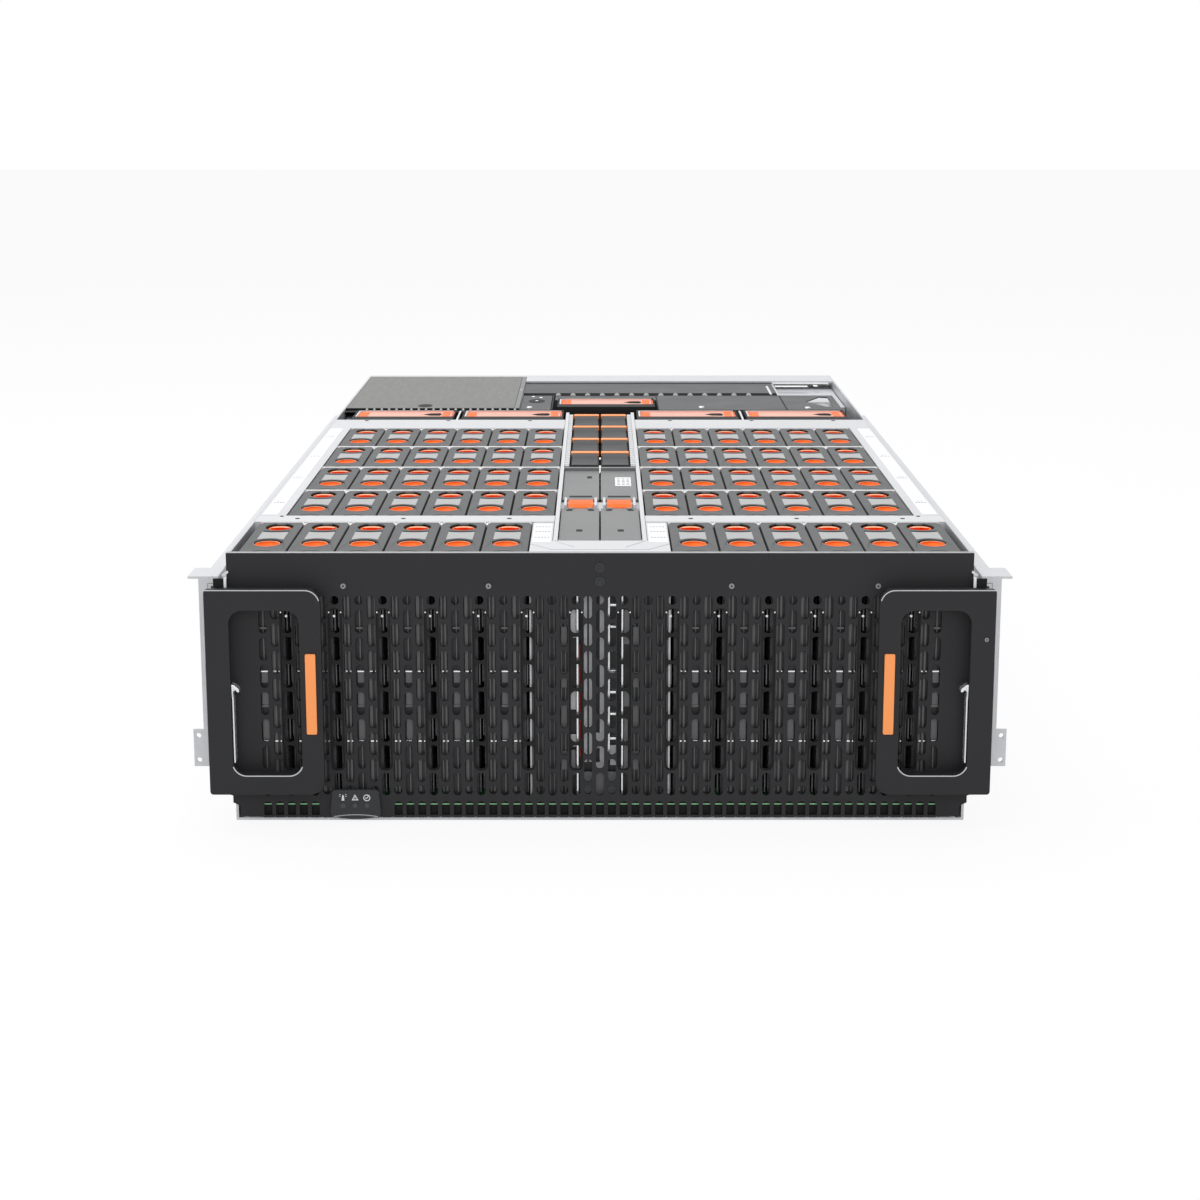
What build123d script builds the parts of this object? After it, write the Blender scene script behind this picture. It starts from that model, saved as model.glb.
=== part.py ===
from build123d import *
import os

# Four-unit storage array, top covers off: sixty upright drives in carriers, a centre bay, fans and slide rails.
# Millimetres. X runs across, +Y to the rear, +Z up; the origin is the middle of the base.

os.makedirs("parts", exist_ok=True)

# Chassis
chassis_depth = 914.0
chassis_height = 171.0
front_y = -chassis_depth / 2
sheet = 1.6
wall_inner = 226.6
wall_outer = wall_inner + sheet
seat = 0.3

# Bezel and its grille
bezel_half_top = wall_outer + 0.8
bezel_half_mid = wall_outer + 4.6
bezel_half_low = wall_inner - 1.4
bezel_thick = 2.0
bezel_lip = 4.9
bezel_top = chassis_height + 0.5
lip_low = 165.0
bezel_step_high = 155.0
bezel_step_low = 16.5
bezel_bottom = 2.0
bezel_bend = 2.6
column_pitch = 7.42
plain_columns = 15
odd_columns = 28
band_columns = 14
slot_rows = 7
band_rows = 6
slot_pitch = 17.37
slot_width = 5.0
slot_length = 14.8
slot_top_odd = 144.4
slot_top_even = 135.5
band_width = 8.6
band_deep = 1.0
band_slot_width = 6.6
band_slot_length = 15.2
screw_radius = 1.7
screw_sides = 8
screw_head = 0.6
screw_x = (-157.6, -68.4, 80.8, 170.7)
screw_z = 150.5
stud_z = (153.3, 162.0)
stud_radius = 3.0

# Handle ears
ear_in = 170.4
ear_out = 241.3
ear_low = 21.3
ear_high = 151.0
ear_front = -14.0
ear_back = -9.0
ear_corner_in = 7.0
ear_corner_out = 2.0
ear_arm = 10.0
window_in = 183.7
window_out = 226.6
window_low = 33.7
window_high = 138.1
window_corner = 5.0
trigger_in = 174.0
trigger_wide = 6.3
trigger_low = 60.4
trigger_high = 111.1
trigger_proud = 1.5
hook_width = 2.7
hook_deep = 4.0
hook_start = 42.2
hook_top = 93.5
hook_reach = 7.8
hook_lip = 5.0
ear_screw_x = 236.0
ear_screw_z = 120.0
ear_screw_radius = 1.3

# Status module
status_left = -168.4
status_right = -137.0
status_low = 2.0
status_high = 21.0
status_taper = 2.2
status_chin = 1.6
status_proud = 3.0
lens_x = (-160.5, -153.0, -145.6)
lens_z = 10.9
lens_radius = 1.65
lens_proud = 0.4

# Main board and connectors
board_low = 8.5
board_thick = 1.6
board_top = board_low + board_thick
board_gap = 1.0
board_start = 4.0
standoff_side = 8.0
standoff_step_x = 280.0
standoff_step_y = 260.0
rear_standoff_step_x = 200.0
rear_standoff_step_y = 90.0
connector_high = 3.6
connector_deep = 6.0
connector_long = 34.0

# Upright drives and their carriers
drive_low = board_top + connector_high + seat
drive_tall = 147.0
drive_top = drive_low + drive_tall
drive_thick = 26.1
drive_wide = 101.6
carrier_wide = 28.4
carrier_long = 98.0
carrier_overhang = (drive_wide - carrier_long) / 2
drive_pitch = 29.8
side_gap = 1.1
row_pitch = 103.7
row_count = 4
per_side = 6
well_wide = 18.0
well_long = 23.0
well_middles = (-25.5, 34.0)
well_floor = 1.0
bridge_drop = 0.4
tab_wide = 14.0
tab_thick = 2.5
tab_from_well_end = 3.2
tab_clear = 0.3
tab_top = 169.0

# Centre bay
bay_wall_in = 26.9
bay_wall_out = 29.6
bay_start = 42.0
apron_half = 43.6
apron_gap = 2.3
module_in = 0.5
module_out = bay_wall_in - 0.5
module_top = 168.8
front_module_long = 127.7
module_lip = 5.0
latch_gap = 2.0
latch_long = 28.0
latch_thick = 3.2
latch_top_gap = 0.7
latch_in = 3.0
latch_out = 23.5
latch_nose = 4.0
bridge_beyond = 4.5
rear_module_gap = 1.5
rear_module_long = 130.0
ssd_gap = 10.4
ssd_pitch = 71.2
ssd_long = ssd_pitch - 1.3
ssd_count = 4
ssd_in = 0.7
ssd_out = 22.7
ssd_low = board_top
ssd_body_top = 167.6
ssd_bar = 7.0
lever_thick = 2.6
lever_hollow = 1.3
lever_start = 3.0
lever_end_gap = 8.9
side_strip_in = 23.2
side_strip_low = 158.0
bay_beyond = 8.8

# Places along the deck, counted from the bezel
front_row_x = apron_half + side_gap + carrier_wide / 2
front_row_start = bezel_lip + seat + carrier_overhang
rows_x = bay_wall_out + side_gap + carrier_wide / 2
deck_sheet = 2.5
divider_deep = 22.6
divider_start = front_row_start + carrier_long + carrier_overhang + seat
divider_end = divider_start + divider_deep
rows_start = divider_end + seat + carrier_overhang
strip_wide = 1.6
strip_deep = 6.0
partition_thick = 1.2
deck_rail_in = rows_x + (per_side - 1) * drive_pitch + carrier_wide / 2 + side_gap
crossbar_deep = 51.0
crossbar_start = rows_start + (row_count - 1) * row_pitch + carrier_long + carrier_overhang + seat
crossbar_end = crossbar_start + crossbar_deep
apron_end = divider_start - apron_gap
front_module_end = bay_start + seat + front_module_long
latch_start = front_module_end + latch_gap
latch_end = latch_start + latch_long
bridge_end = latch_end + bridge_beyond
rear_module_start = bridge_end + rear_module_gap
rear_module_end = rear_module_start + rear_module_long
ssd_start = rear_module_end + ssd_gap
bay_end = ssd_start + ssd_count * ssd_pitch + bay_beyond

# Fans
fan_wide = 88.0
fan_deep = 60.0
fan_gap = 3.0
fan_between = 7.0
fan_low = sheet + 0.4
fan_inner_x = bay_wall_out + 2.4 + fan_wide / 2
fan_outer_x = fan_inner_x + fan_wide + fan_between
fan_x = (-fan_outer_x, -fan_inner_x, fan_inner_x, fan_outer_x)
fan_start = crossbar_end + fan_gap
fan_body_top = 160.0
fan_axis_z = 84.0
duct_radius = 41.0
duct_sides = 14
hub_radius = 16.0
hub_sides = 8
tip_clear = 2.0
blade_tip = duct_radius - tip_clear
blade_thick = 2.0
blade_sink = 2.0
blade_count = 5
blade_pitch_angle = 35.0
rotor_long = 36.0
pin_radius = 3.0
pin_fit = 0.05
pin_sides = 8
pin_depth = 20.0
pin_clear = 0.5
strut_high = 9.0
strut_deep = 10.0
rotor_end = fan_deep - strut_deep - pin_clear
rotor_start = rotor_end - rotor_long
finger_hole_x = 24.0
finger_hole_y = 38.0
finger_hole_outline = ((-8.5, 0.0), (-2.0, -7.5), (6.5, -8.5), (8.5, 0.0), (6.5, 8.5), (-2.0, 7.5))
rear_fan_x = 5.5
rear_fan_gap = 39.0
rear_fan_start = bay_end + rear_fan_gap

# Rear bays
rear_face = chassis_depth
rear_frame_thick = 3.0
rear_frame_start = rear_face - rear_frame_thick
rear_rim_low = 165.0
rear_flange_deep = 46.0
rear_rim_lip = 10.0
rear_cover_start = fan_start + fan_deep + 1.0
rear_cover_thick = 2.5
rear_left_wall = -72.0
rear_right_wall = 166.6
partition_gap = 0.5
baffle_thick = 1.8
baffle_drop = 0.8
partition_drop = baffle_drop + baffle_thick
panel_drop = 0.1
vent_wide = 64.0
vent_high = 8.0
vent_gap = 10.0
vent_rise = 14.0
vent_columns = 3
vent_rows = 8
vent_mid_z = 84.0
baffle_start = 672.0
baffle_deep = 100.0
baffle_skirt = 22.0
baffle_gap = 3.0
baffle_outer = 217.0
partition_middle = rear_right_wall + sheet / 2
baffle_spans = (
    (rear_left_wall + seat, rear_fan_x - fan_wide / 2 - baffle_gap),
    (rear_fan_x + fan_wide / 2 + baffle_gap, partition_middle - seat),
    (partition_middle + seat, baffle_outer),
)
skirt_spans = (
    baffle_spans[0],
    (baffle_spans[1][0], rear_right_wall - seat),
    (rear_right_wall + sheet + seat, baffle_outer),
)
bay_clear = 1.0
supply_long = 179.0
controller_gap = 4.0
controller_tall = 80.5
supply_tall = 80.5
pull_wide = 6.0
pull_inset = 14.0
pull_proud = 11.0
pull_bar = 4.0
pull_low = 22.0
pull_high = 58.0
vent_sheet_gap = 18.0
vent_sheet_foot = 150.0
vent_sheet_top = chassis_height - sheet - seat
rear_board_gap = 28.0

# Slide rails
inner_rail_thick = 2.8
inner_rail_out = wall_outer + inner_rail_thick
middle_rail_wide = 11.9
middle_rail_in = inner_rail_out + seat
middle_rail_out = middle_rail_in + middle_rail_wide
rail_skin = 1.6
outer_web_in = middle_rail_out + seat
outer_rail_thick = 3.2
outer_rail_out = outer_web_in + outer_rail_thick
outer_lip = 4.9
outer_lip_in = middle_rail_out - outer_lip
rail_mid_z = 125.0
rail_half = 27.0
rail_lip = 3.0
rail_low = rail_mid_z - rail_half
rail_high = rail_mid_z + rail_half
middle_half = rail_half - rail_lip - seat
inner_half = middle_half - 1.7
rail_start = 16.0
inner_end_gap = 14.0
rail_step = 100.0
outer_step = 40.0
inner_end = chassis_depth - inner_end_gap
middle_end = inner_end - rail_step
outer_end = middle_end - outer_step
bracket_thick = 2.5
bracket_out = outer_rail_out + bracket_thick
bracket_low = 31.0
bracket_high = 153.2
bracket_long = 27.0
flange_reach_in = 9.7
flange_reach_out = 6.5
flange_in = outer_rail_out - flange_reach_in
flange_out = bracket_out + flange_reach_out
flange_thick = 1.5
rack_hole_spacing = 15.875
rack_hole_radius = 1.6
rack_hole_edge = 3.2
rack_hole_x = flange_out - rack_hole_edge
rack_hole_mid_z = 43.0
rack_tab_half = 12.0
rack_tab_thick = 2.0


def block(x_span, y_span, z_span, mode=Mode.ADD):
    """A box between three spans; the Y span counts from the bezel's front face."""
    size = [span[1] - span[0] for span in (x_span, y_span, z_span)]
    middle = [(span[0] + span[1]) / 2 for span in (x_span, y_span, z_span)]
    with Locations((middle[0], middle[1] + front_y, middle[2])):
        Box(size[0], size[1], size[2], mode=mode)


def span(side, near, far):
    """An X span on one side of the middle, as low and high values."""
    return (near, far) if side > 0 else (-far, -near)


def around(middle, size):
    """A span of one size around a middle."""
    return (middle - size / 2, middle + size / 2)


def drawn_along_x(outline, x_span, mode=Mode.ADD):
    """A profile of (y, z) points, with Y counted from the bezel, extruded between two X values."""
    with BuildSketch(Plane.YZ.offset(x_span[0]), mode=Mode.PRIVATE) as profile:
        with BuildLine():
            Polyline(*[(y + front_y, z) for y, z in outline], close=True)
        make_face()
    add(extrude(profile.sketch, amount=x_span[1] - x_span[0], mode=Mode.PRIVATE), mode=mode)


def drawn_along_y(outline, y_span, mode=Mode.ADD):
    """A profile of (x, z) points extruded between two Y values, which count from the bezel."""
    with BuildSketch(Plane.XZ.offset(-y_span[1] - front_y), mode=Mode.PRIVATE) as profile:
        with BuildLine():
            Polyline(*outline, close=True)
        make_face()
    add(extrude(profile.sketch, amount=y_span[1] - y_span[0], mode=Mode.PRIVATE), mode=mode)


def drawn_upward(outline, z_span, mode=Mode.ADD):
    """A plan of (x, y) points, with Y counted from the bezel, extruded between two heights."""
    with BuildSketch(Plane.XY.offset(z_span[0]), mode=Mode.PRIVATE) as profile:
        with BuildLine():
            Polyline(*[(x, y + front_y) for x, y in outline], close=True)
        make_face()
    add(extrude(profile.sketch, amount=z_span[1] - z_span[0], mode=Mode.PRIVATE), mode=mode)


def mirrored(outline, side):
    """An outline for one side of the middle."""
    return [(side * x, z) for x, z in outline]


def clipped(x_span, z_span, near_cut, far_cut):
    """A rectangle whose corners are cut at 45 degrees, by one size at its near X and another at its far X."""
    (x_near, x_far), (z_low, z_high) = x_span, z_span
    return [
        (x_near, z_low + near_cut),
        (x_near + near_cut, z_low),
        (x_far - far_cut, z_low),
        (x_far, z_low + far_cut),
        (x_far, z_high - far_cut),
        (x_far - far_cut, z_high),
        (x_near + near_cut, z_high),
        (x_near, z_high - near_cut),
    ]


def peg(x, y_span, z, radius, sides, inside=False, mode=Mode.ADD):
    """A many-sided peg or bore with its axis along Y, few-sided so that its mesh stays light."""
    with BuildSketch(Plane.XY, mode=Mode.PRIVATE) as outline:
        RegularPolygon(radius, sides, major_radius=not inside)
    solid = extrude(outline.sketch, amount=(y_span[1] - y_span[0]) / 2, both=True, mode=Mode.PRIVATE)
    with Locations(Location((x, (y_span[0] + y_span[1]) / 2 + front_y, z), (90, 0, 0))):
        add(solid, mode=mode)


def channel(y_span, z_span, wall):
    """The profile of a folded channel with its open side down."""
    (y_low, y_high), (z_low, z_high) = y_span, z_span
    return [
        (y_low, z_low),
        (y_low, z_high),
        (y_high, z_high),
        (y_high, z_low),
        (y_high - wall, z_low),
        (y_high - wall, z_high - deck_sheet),
        (y_low + wall, z_high - deck_sheet),
        (y_low + wall, z_low),
    ]


def write(builder, name):
    """Label one finished piece and write its file."""
    builder.part.label = name
    export_step(builder.part, f"parts/{name}.step")


# Chassis sheet metal


def make_vent_panel():
    """The louvred panel between the rear bays."""
    with BuildPart(mode=Mode.PRIVATE) as panel:
        across = (rear_left_wall, rear_right_wall)
        block(across, (rear_frame_start, rear_face - seat), (sheet, rear_rim_low - panel_drop))
        with Locations(Location((sum(across) / 2, rear_face + front_y, vent_mid_z), (90, 0, 0))):
            with GridLocations(vent_wide + vent_gap, vent_rise, vent_columns, vent_rows):
                Box(vent_wide, vent_high, 4 * rear_frame_thick, mode=Mode.SUBTRACT)
    return panel.part


def make_shell():
    with BuildPart() as base_pan:
        block((-wall_outer, wall_outer), (bezel_thick, rear_face), (0, sheet))
    write(base_pan, "base_pan")
    for side, name in ((-1, "side_wall_left"), (1, "side_wall_right")):
        with BuildPart() as wall:
            block(span(side, wall_inner, wall_outer), (bezel_thick, rear_face), (sheet, chassis_height))
        write(wall, name)
    with BuildPart() as rear_frame:
        lip_points = [
            (rear_face, rear_rim_low),
            (rear_face, chassis_height),
            (rear_face - rear_rim_lip, chassis_height),
            (rear_face - rear_rim_lip, chassis_height - sheet),
            (rear_frame_start, chassis_height - sheet),
            (rear_frame_start, rear_rim_low),
        ]
        drawn_along_x(lip_points, (-wall_inner, wall_inner))
        flange_start = rear_face - rear_flange_deep
        block((rear_left_wall, wall_inner), (flange_start, rear_face), (chassis_height - sheet, chassis_height))
        add(make_vent_panel())
    write(rear_frame, "rear_frame")
    with BuildPart() as rear_partitions:
        top = chassis_height - partition_drop
        for x_low in (rear_left_wall - sheet, rear_right_wall):
            block((x_low, x_low + sheet), (rear_cover_start + partition_gap, rear_frame_start), (sheet, top))
    write(rear_partitions, "rear_partitions")


def bezel_outline():
    """The right half of the bezel's stepped outline, from the top down, then the left half back up."""
    half = [
        (bezel_half_top, bezel_top),
        (bezel_half_top, bezel_step_high),
        (bezel_half_mid, bezel_step_high - bezel_bend),
        (bezel_half_mid, bezel_step_low + bezel_bend),
        (bezel_half_low, bezel_step_low - bezel_bend),
        (bezel_half_low, bezel_bottom),
    ]
    return half + [(-x, z) for x, z in reversed(half)]


def cut_slots(middle_z, columns, rows, pitch, size):
    """Cuts a grid of slots through the bezel."""
    with Locations(Location((0, front_y + bezel_thick / 2, middle_z), (90, 0, 0))):
        with GridLocations(pitch, slot_pitch, columns, rows):
            Box(size[0], size[1], 2 * bezel_thick, mode=Mode.SUBTRACT)


def make_bezel():
    rows_high = (slot_rows - 1) * slot_pitch
    even_middle = slot_top_even - slot_length / 2 - rows_high / 2
    odd_middle = slot_top_odd - slot_length / 2 - rows_high / 2
    last_slot = slot_top_even - slot_length / 2 - rows_high
    band_middle = slot_top_even - slot_length / 2 - (band_rows - 1) * slot_pitch / 2
    band_high = (band_rows - 1) * slot_pitch + band_slot_length + band_deep
    narrow = (slot_width, slot_length)
    with BuildPart() as front_bezel:
        drawn_along_y(bezel_outline(), (0, bezel_thick))
        block((-wall_inner, wall_inner), (0, bezel_lip), (lip_low, bezel_top))
        for z in stud_z:
            peg(0, (-screw_head, 0), z, stud_radius, screw_sides)
        with Locations(Location((0, front_y, band_middle), (90, 0, 0))):
            with GridLocations(4 * column_pitch, slot_pitch, band_columns, 1):
                Box(band_width, band_high, 2 * band_deep, mode=Mode.SUBTRACT)
        cut_slots(band_middle, band_columns, band_rows, 4 * column_pitch, (band_slot_width, band_slot_length))
        cut_slots(last_slot, band_columns, 1, 4 * column_pitch, narrow)
        cut_slots(even_middle, plain_columns, slot_rows, 4 * column_pitch, narrow)
        cut_slots(odd_middle, odd_columns, slot_rows, 2 * column_pitch, narrow)
    write(front_bezel, "front_bezel")
    with BuildPart() as front_screws:
        for x in screw_x:
            peg(x, (-screw_head, 0), screw_z, screw_radius, screw_sides)
        peg(ear_screw_x, (ear_front - screw_head, ear_front), ear_screw_z, ear_screw_radius, screw_sides)
    write(front_screws, "front_screws")


def make_ears():
    frame_points = clipped((ear_in, ear_out), (ear_low, ear_high), ear_corner_in, ear_corner_out)
    window_points = clipped((window_in, window_out), (window_low, window_high), window_corner, window_corner)
    arm_spans = (
        around((ear_low + window_low) / 2, ear_arm),
        around((ear_high + window_high) / 2, ear_arm),
    )
    for side, word in ((-1, "left"), (1, "right")):
        with BuildPart() as ear:
            drawn_along_y(mirrored(frame_points, side), (ear_front, ear_back))
            drawn_along_y(mirrored(window_points, side), (ear_front, ear_back), Mode.SUBTRACT)
            for arm in arm_spans:
                block(span(side, trigger_in, bezel_half_mid), (ear_back, 0), arm)
        write(ear, f"ear_{word}")
        with BuildPart() as trigger:
            across = span(side, trigger_in, trigger_in + trigger_wide)
            block(across, (ear_front - trigger_proud, ear_front), (trigger_low, trigger_high))
        write(trigger, f"ear_trigger_{word}")
        hook_out = window_out - seat
        hook_points = [
            (hook_out, hook_start),
            (hook_out, hook_top),
            (hook_out - hook_reach / 2, hook_top),
            (hook_out - hook_reach, hook_top - hook_lip),
            (hook_out - hook_width, hook_top - hook_lip),
            (hook_out - hook_width, hook_start),
        ]
        with BuildPart() as hook:
            drawn_along_y(mirrored(hook_points, side), (ear_front + 1, ear_front + 1 + hook_deep))
        write(hook, f"ear_hook_{word}")


def make_status():
    middle = (status_left + status_right) / 2
    outline = [
        (status_left, status_low + status_chin),
        (middle, status_low),
        (status_right, status_low + status_chin),
        (status_right - status_taper / 2, status_high - status_taper),
        (status_right - status_taper, status_high),
        (status_left + status_taper, status_high),
        (status_left + status_taper / 2, status_high - status_taper),
    ]
    with BuildPart() as status_module:
        drawn_along_y(outline, (-status_proud, 0))
    write(status_module, "status_module")
    with BuildPart() as status_lenses:
        for x in lens_x:
            peg(x, (-status_proud - lens_proud, -status_proud), lens_z, lens_radius, screw_sides)
    write(status_lenses, "status_lenses")


# Drives, carriers and squeeze tabs


def front_places():
    """X and Y middles of the twelve front drives, with Y counted from the bezel."""
    return [
        (side * (front_row_x + index * drive_pitch), front_row_start + carrier_long / 2)
        for side in (-1, 1)
        for index in range(per_side)
    ]


def row_places():
    """X and Y middles of the forty-eight drives behind the divider."""
    return [
        (side * (rows_x + index * drive_pitch), rows_start + row * row_pitch + carrier_long / 2)
        for row in range(row_count)
        for side in (-1, 1)
        for index in range(per_side)
    ]


def make_carriers(places, word):
    """Caps with one long pocket each, which a bridge plate splits into two finger wells."""
    pocket_start = well_middles[0] - well_long / 2
    pocket_end = well_middles[1] + well_long / 2
    bridge_start = well_middles[0] + well_long / 2
    bridge_end_y = well_middles[1] - well_long / 2
    floor = drive_top + well_floor
    cap_z = (drive_top + chassis_height) / 2
    with BuildPart() as carriers:
        with Locations(*[(x, y + front_y, cap_z) for x, y in places]):
            Box(carrier_wide, carrier_long, chassis_height - drive_top)
        pocket_y = (pocket_start + pocket_end) / 2
        with Locations(*[(x, y + front_y + pocket_y, chassis_height) for x, y in places]):
            Box(well_wide, pocket_end - pocket_start, 2 * (chassis_height - floor), mode=Mode.SUBTRACT)
        bridge_y = (bridge_start + bridge_end_y) / 2
        bridge_top = chassis_height - bridge_drop
        with Locations(*[(x, y + front_y + bridge_y, (floor + bridge_top) / 2) for x, y in places]):
            Box(well_wide, bridge_end_y - bridge_start, bridge_top - floor)
    write(carriers, f"carriers_{word}")


def make_tabs(places, word):
    """Wedge-shaped squeeze tabs, one in each finger well."""
    low = drive_top + well_floor + seat
    far = well_long / 2 - tab_from_well_end
    for offset, end_word in zip(well_middles, ("fore", "aft")):
        wedge = [(offset + far, low), (offset + far, tab_top), (offset + far - tab_thick, low)]
        with BuildPart(mode=Mode.PRIVATE) as tab:
            drawn_along_x([(y - front_y, z) for y, z in wedge], (-tab_wide / 2, tab_wide / 2))
        with BuildPart() as tabs:
            with Locations(*[(x, y + front_y, 0) for x, y in places]):
                add(tab.part)
        write(tabs, f"tabs_{end_word}_{word}")


def make_drives(places, word):
    with BuildPart() as drives:
        with Locations(*[(x, y + front_y, drive_low + drive_tall / 2) for x, y in places]):
            Box(drive_thick, drive_wide, drive_tall)
    write(drives, f"drives_{word}")
    make_carriers(places, word)
    make_tabs(places, word)


def make_board():
    with BuildPart() as main_board:
        half = wall_inner - board_gap
        block((-half, half), (board_start, crossbar_end), (board_low, board_top))
    write(main_board, "main_board")
    with BuildPart() as board_standoffs:
        middle_z = (sheet + board_low) / 2
        with Locations((0, front_y + (board_start + crossbar_end) / 2, middle_z)):
            with GridLocations(standoff_step_x, standoff_step_y, 2, 2):
                Box(standoff_side, standoff_side, board_low - sheet)
        rear_middle = (baffle_start + baffle_deep + rear_board_gap + rear_frame_start) / 2
        with Locations(((rear_left_wall + rear_right_wall) / 2, front_y + rear_middle, middle_z)):
            with GridLocations(rear_standoff_step_x, rear_standoff_step_y, 2, 2):
                Box(standoff_side, standoff_side, board_low - sheet)
    write(board_standoffs, "board_standoffs")
    with BuildPart() as drive_connectors:
        starts = [(front_row_start, front_row_x)]
        starts += [(rows_start + row * row_pitch, rows_x) for row in range(row_count)]
        for start, first_x in starts:
            last_x = first_x + (per_side - 1) * drive_pitch
            for side in (-1, 1):
                across = span(side, first_x - connector_deep / 2, last_x + connector_deep / 2)
                along = around(start + carrier_long / 2, connector_long)
                block(across, along, (board_top, board_top + connector_high))
    write(drive_connectors, "drive_connectors")


# Deck bars between the drive rows


def make_deck():
    deck_low = chassis_height - deck_sheet
    deck = (board_top, chassis_height)
    with BuildPart() as front_divider:
        for side in (-1, 1):
            across = span(side, bay_wall_out + seat, wall_inner)
            drawn_along_x(channel((divider_start, divider_end), deck, sheet), across)
    write(front_divider, "front_divider")
    with BuildPart() as row_partitions:
        low = chassis_height - strip_deep
        gap = row_pitch - carrier_long
        for side in (-1, 1):
            across = span(side, bay_wall_out + seat, deck_rail_in - seat)
            for row in range(1, row_count):
                middle = rows_start + row * row_pitch - gap / 2
                block(across, around(middle, partition_thick), (board_top, low))
                block(across, around(middle, strip_wide), (low, chassis_height))
    write(row_partitions, "row_partitions")
    with BuildPart() as deck_rails:
        leg = deck_rail_in + partition_thick
        outline = [
            (deck_rail_in, board_top),
            (leg, board_top),
            (leg, deck_low),
            (wall_inner, deck_low),
            (wall_inner, chassis_height),
            (deck_rail_in, chassis_height),
        ]
        for side in (-1, 1):
            drawn_along_y(mirrored(outline, side), (divider_end + seat, crossbar_start - seat))
    write(deck_rails, "deck_rails")
    with BuildPart() as fan_crossbar:
        for side in (-1, 1):
            across = span(side, bay_wall_out + seat, wall_inner)
            drawn_along_x(channel((crossbar_start, crossbar_end), deck, sheet), across)
    write(fan_crossbar, "fan_crossbar")


# Centre bay


def make_apron():
    """The folded sheet round the front modules, a U in plan with two side walls."""
    front = bezel_lip + seat
    inside = bay_wall_out + seat
    plan = [
        (-apron_half, front),
        (apron_half, front),
        (apron_half, apron_end),
        (inside, apron_end),
        (inside, bay_start),
        (-inside, bay_start),
        (-inside, apron_end),
        (-apron_half, apron_end),
    ]
    deck_low = chassis_height - deck_sheet
    with BuildPart() as bay_apron:
        drawn_upward(plan, (deck_low, chassis_height))
        for side in (-1, 1):
            block(span(side, apron_half - sheet, apron_half), (front, apron_end), (board_top, deck_low))
    write(bay_apron, "bay_apron")


def make_module(y_span, lip_at_front):
    """A pair of modules side by side, each with a grip lip across one end."""
    start, end = y_span
    lip = (start, start + module_lip) if lip_at_front else (end - module_lip, end)
    for side in (-1, 1):
        across = span(side, module_in, module_out)
        block(across, y_span, (board_top, module_top))
        block(across, lip, (module_top, chassis_height))


def make_latches():
    low = chassis_height - latch_thick - 1 + tab_clear
    high = chassis_height - latch_top_gap
    outline = [
        (latch_start, low),
        (latch_start, (low + high) / 2),
        (latch_start + latch_nose, high),
        (latch_end - latch_nose, high),
        (latch_end, high - tab_clear),
        (latch_end, low),
    ]
    with BuildPart() as latch_bridge:
        top = chassis_height - latch_thick - 1
        block((-bay_wall_in, bay_wall_in), (latch_start - 1.0, bridge_end), (board_top, top))
    write(latch_bridge, "latch_bridge")
    with BuildPart() as module_latches:
        for side in (-1, 1):
            drawn_along_x(outline, span(side, latch_in, latch_out))
    write(module_latches, "module_latches")


def make_caddies():
    starts = [ssd_start + index * ssd_pitch for index in range(ssd_count)]
    with BuildPart() as ssd_carriers:
        for start in starts:
            for side in (-1, 1):
                across = span(side, ssd_in, ssd_out)
                block(across, (start, start + ssd_long), (ssd_low, ssd_body_top))
                block(across, (start + ssd_long - ssd_bar, start + ssd_long), (ssd_body_top, chassis_height))
    write(ssd_carriers, "ssd_carriers")
    low = ssd_body_top + tab_clear
    high = low + lever_thick
    for index, start in enumerate(starts):
        near = start + lever_start
        far = start + ssd_long - lever_end_gap
        third = (far - near) / 3
        outline = [
            (near, low),
            (near, high),
            (near + third, high - lever_hollow),
            (far - third, high - lever_hollow),
            (far, high),
            (far, low),
        ]
        with BuildPart() as levers:
            for side in (-1, 1):
                drawn_along_x(outline, span(side, ssd_in + 1, ssd_out - 1))
        write(levers, f"ssd_levers_{index + 1}")


def make_bay():
    with BuildPart() as bay_walls:
        for side in (-1, 1):
            block(span(side, bay_wall_in, bay_wall_out), (bay_start, bay_end), (board_top, chassis_height))
    write(bay_walls, "bay_walls")
    make_apron()
    with BuildPart() as front_modules:
        make_module((bay_start + seat, front_module_end), True)
    write(front_modules, "front_modules")
    make_latches()
    with BuildPart() as rear_modules:
        make_module((rear_module_start, rear_module_end), False)
    write(rear_modules, "rear_modules")
    make_caddies()
    with BuildPart() as side_strips:
        for side in (-1, 1):
            along = (ssd_start, ssd_start + ssd_count * ssd_pitch)
            block(span(side, side_strip_in, bay_wall_in), along, (side_strip_low, chassis_height))
    write(side_strips, "side_strips")


# Fans


def fan_housing(x, start):
    """One fan housing with its round duct, and the strut and pin that carry the rotor."""
    rear = start + fan_deep
    block(around(x, fan_wide), (start, rear), (fan_low, fan_body_top))
    peg(x, (start - 1, rear + 1), fan_axis_z, duct_radius, duct_sides, True, Mode.SUBTRACT)
    block(around(x, fan_wide), (rear - strut_deep, rear), around(fan_axis_z, strut_high))
    peg(x, (start + rotor_end - pin_depth, rear - strut_deep), fan_axis_z, pin_radius, pin_sides)


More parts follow.
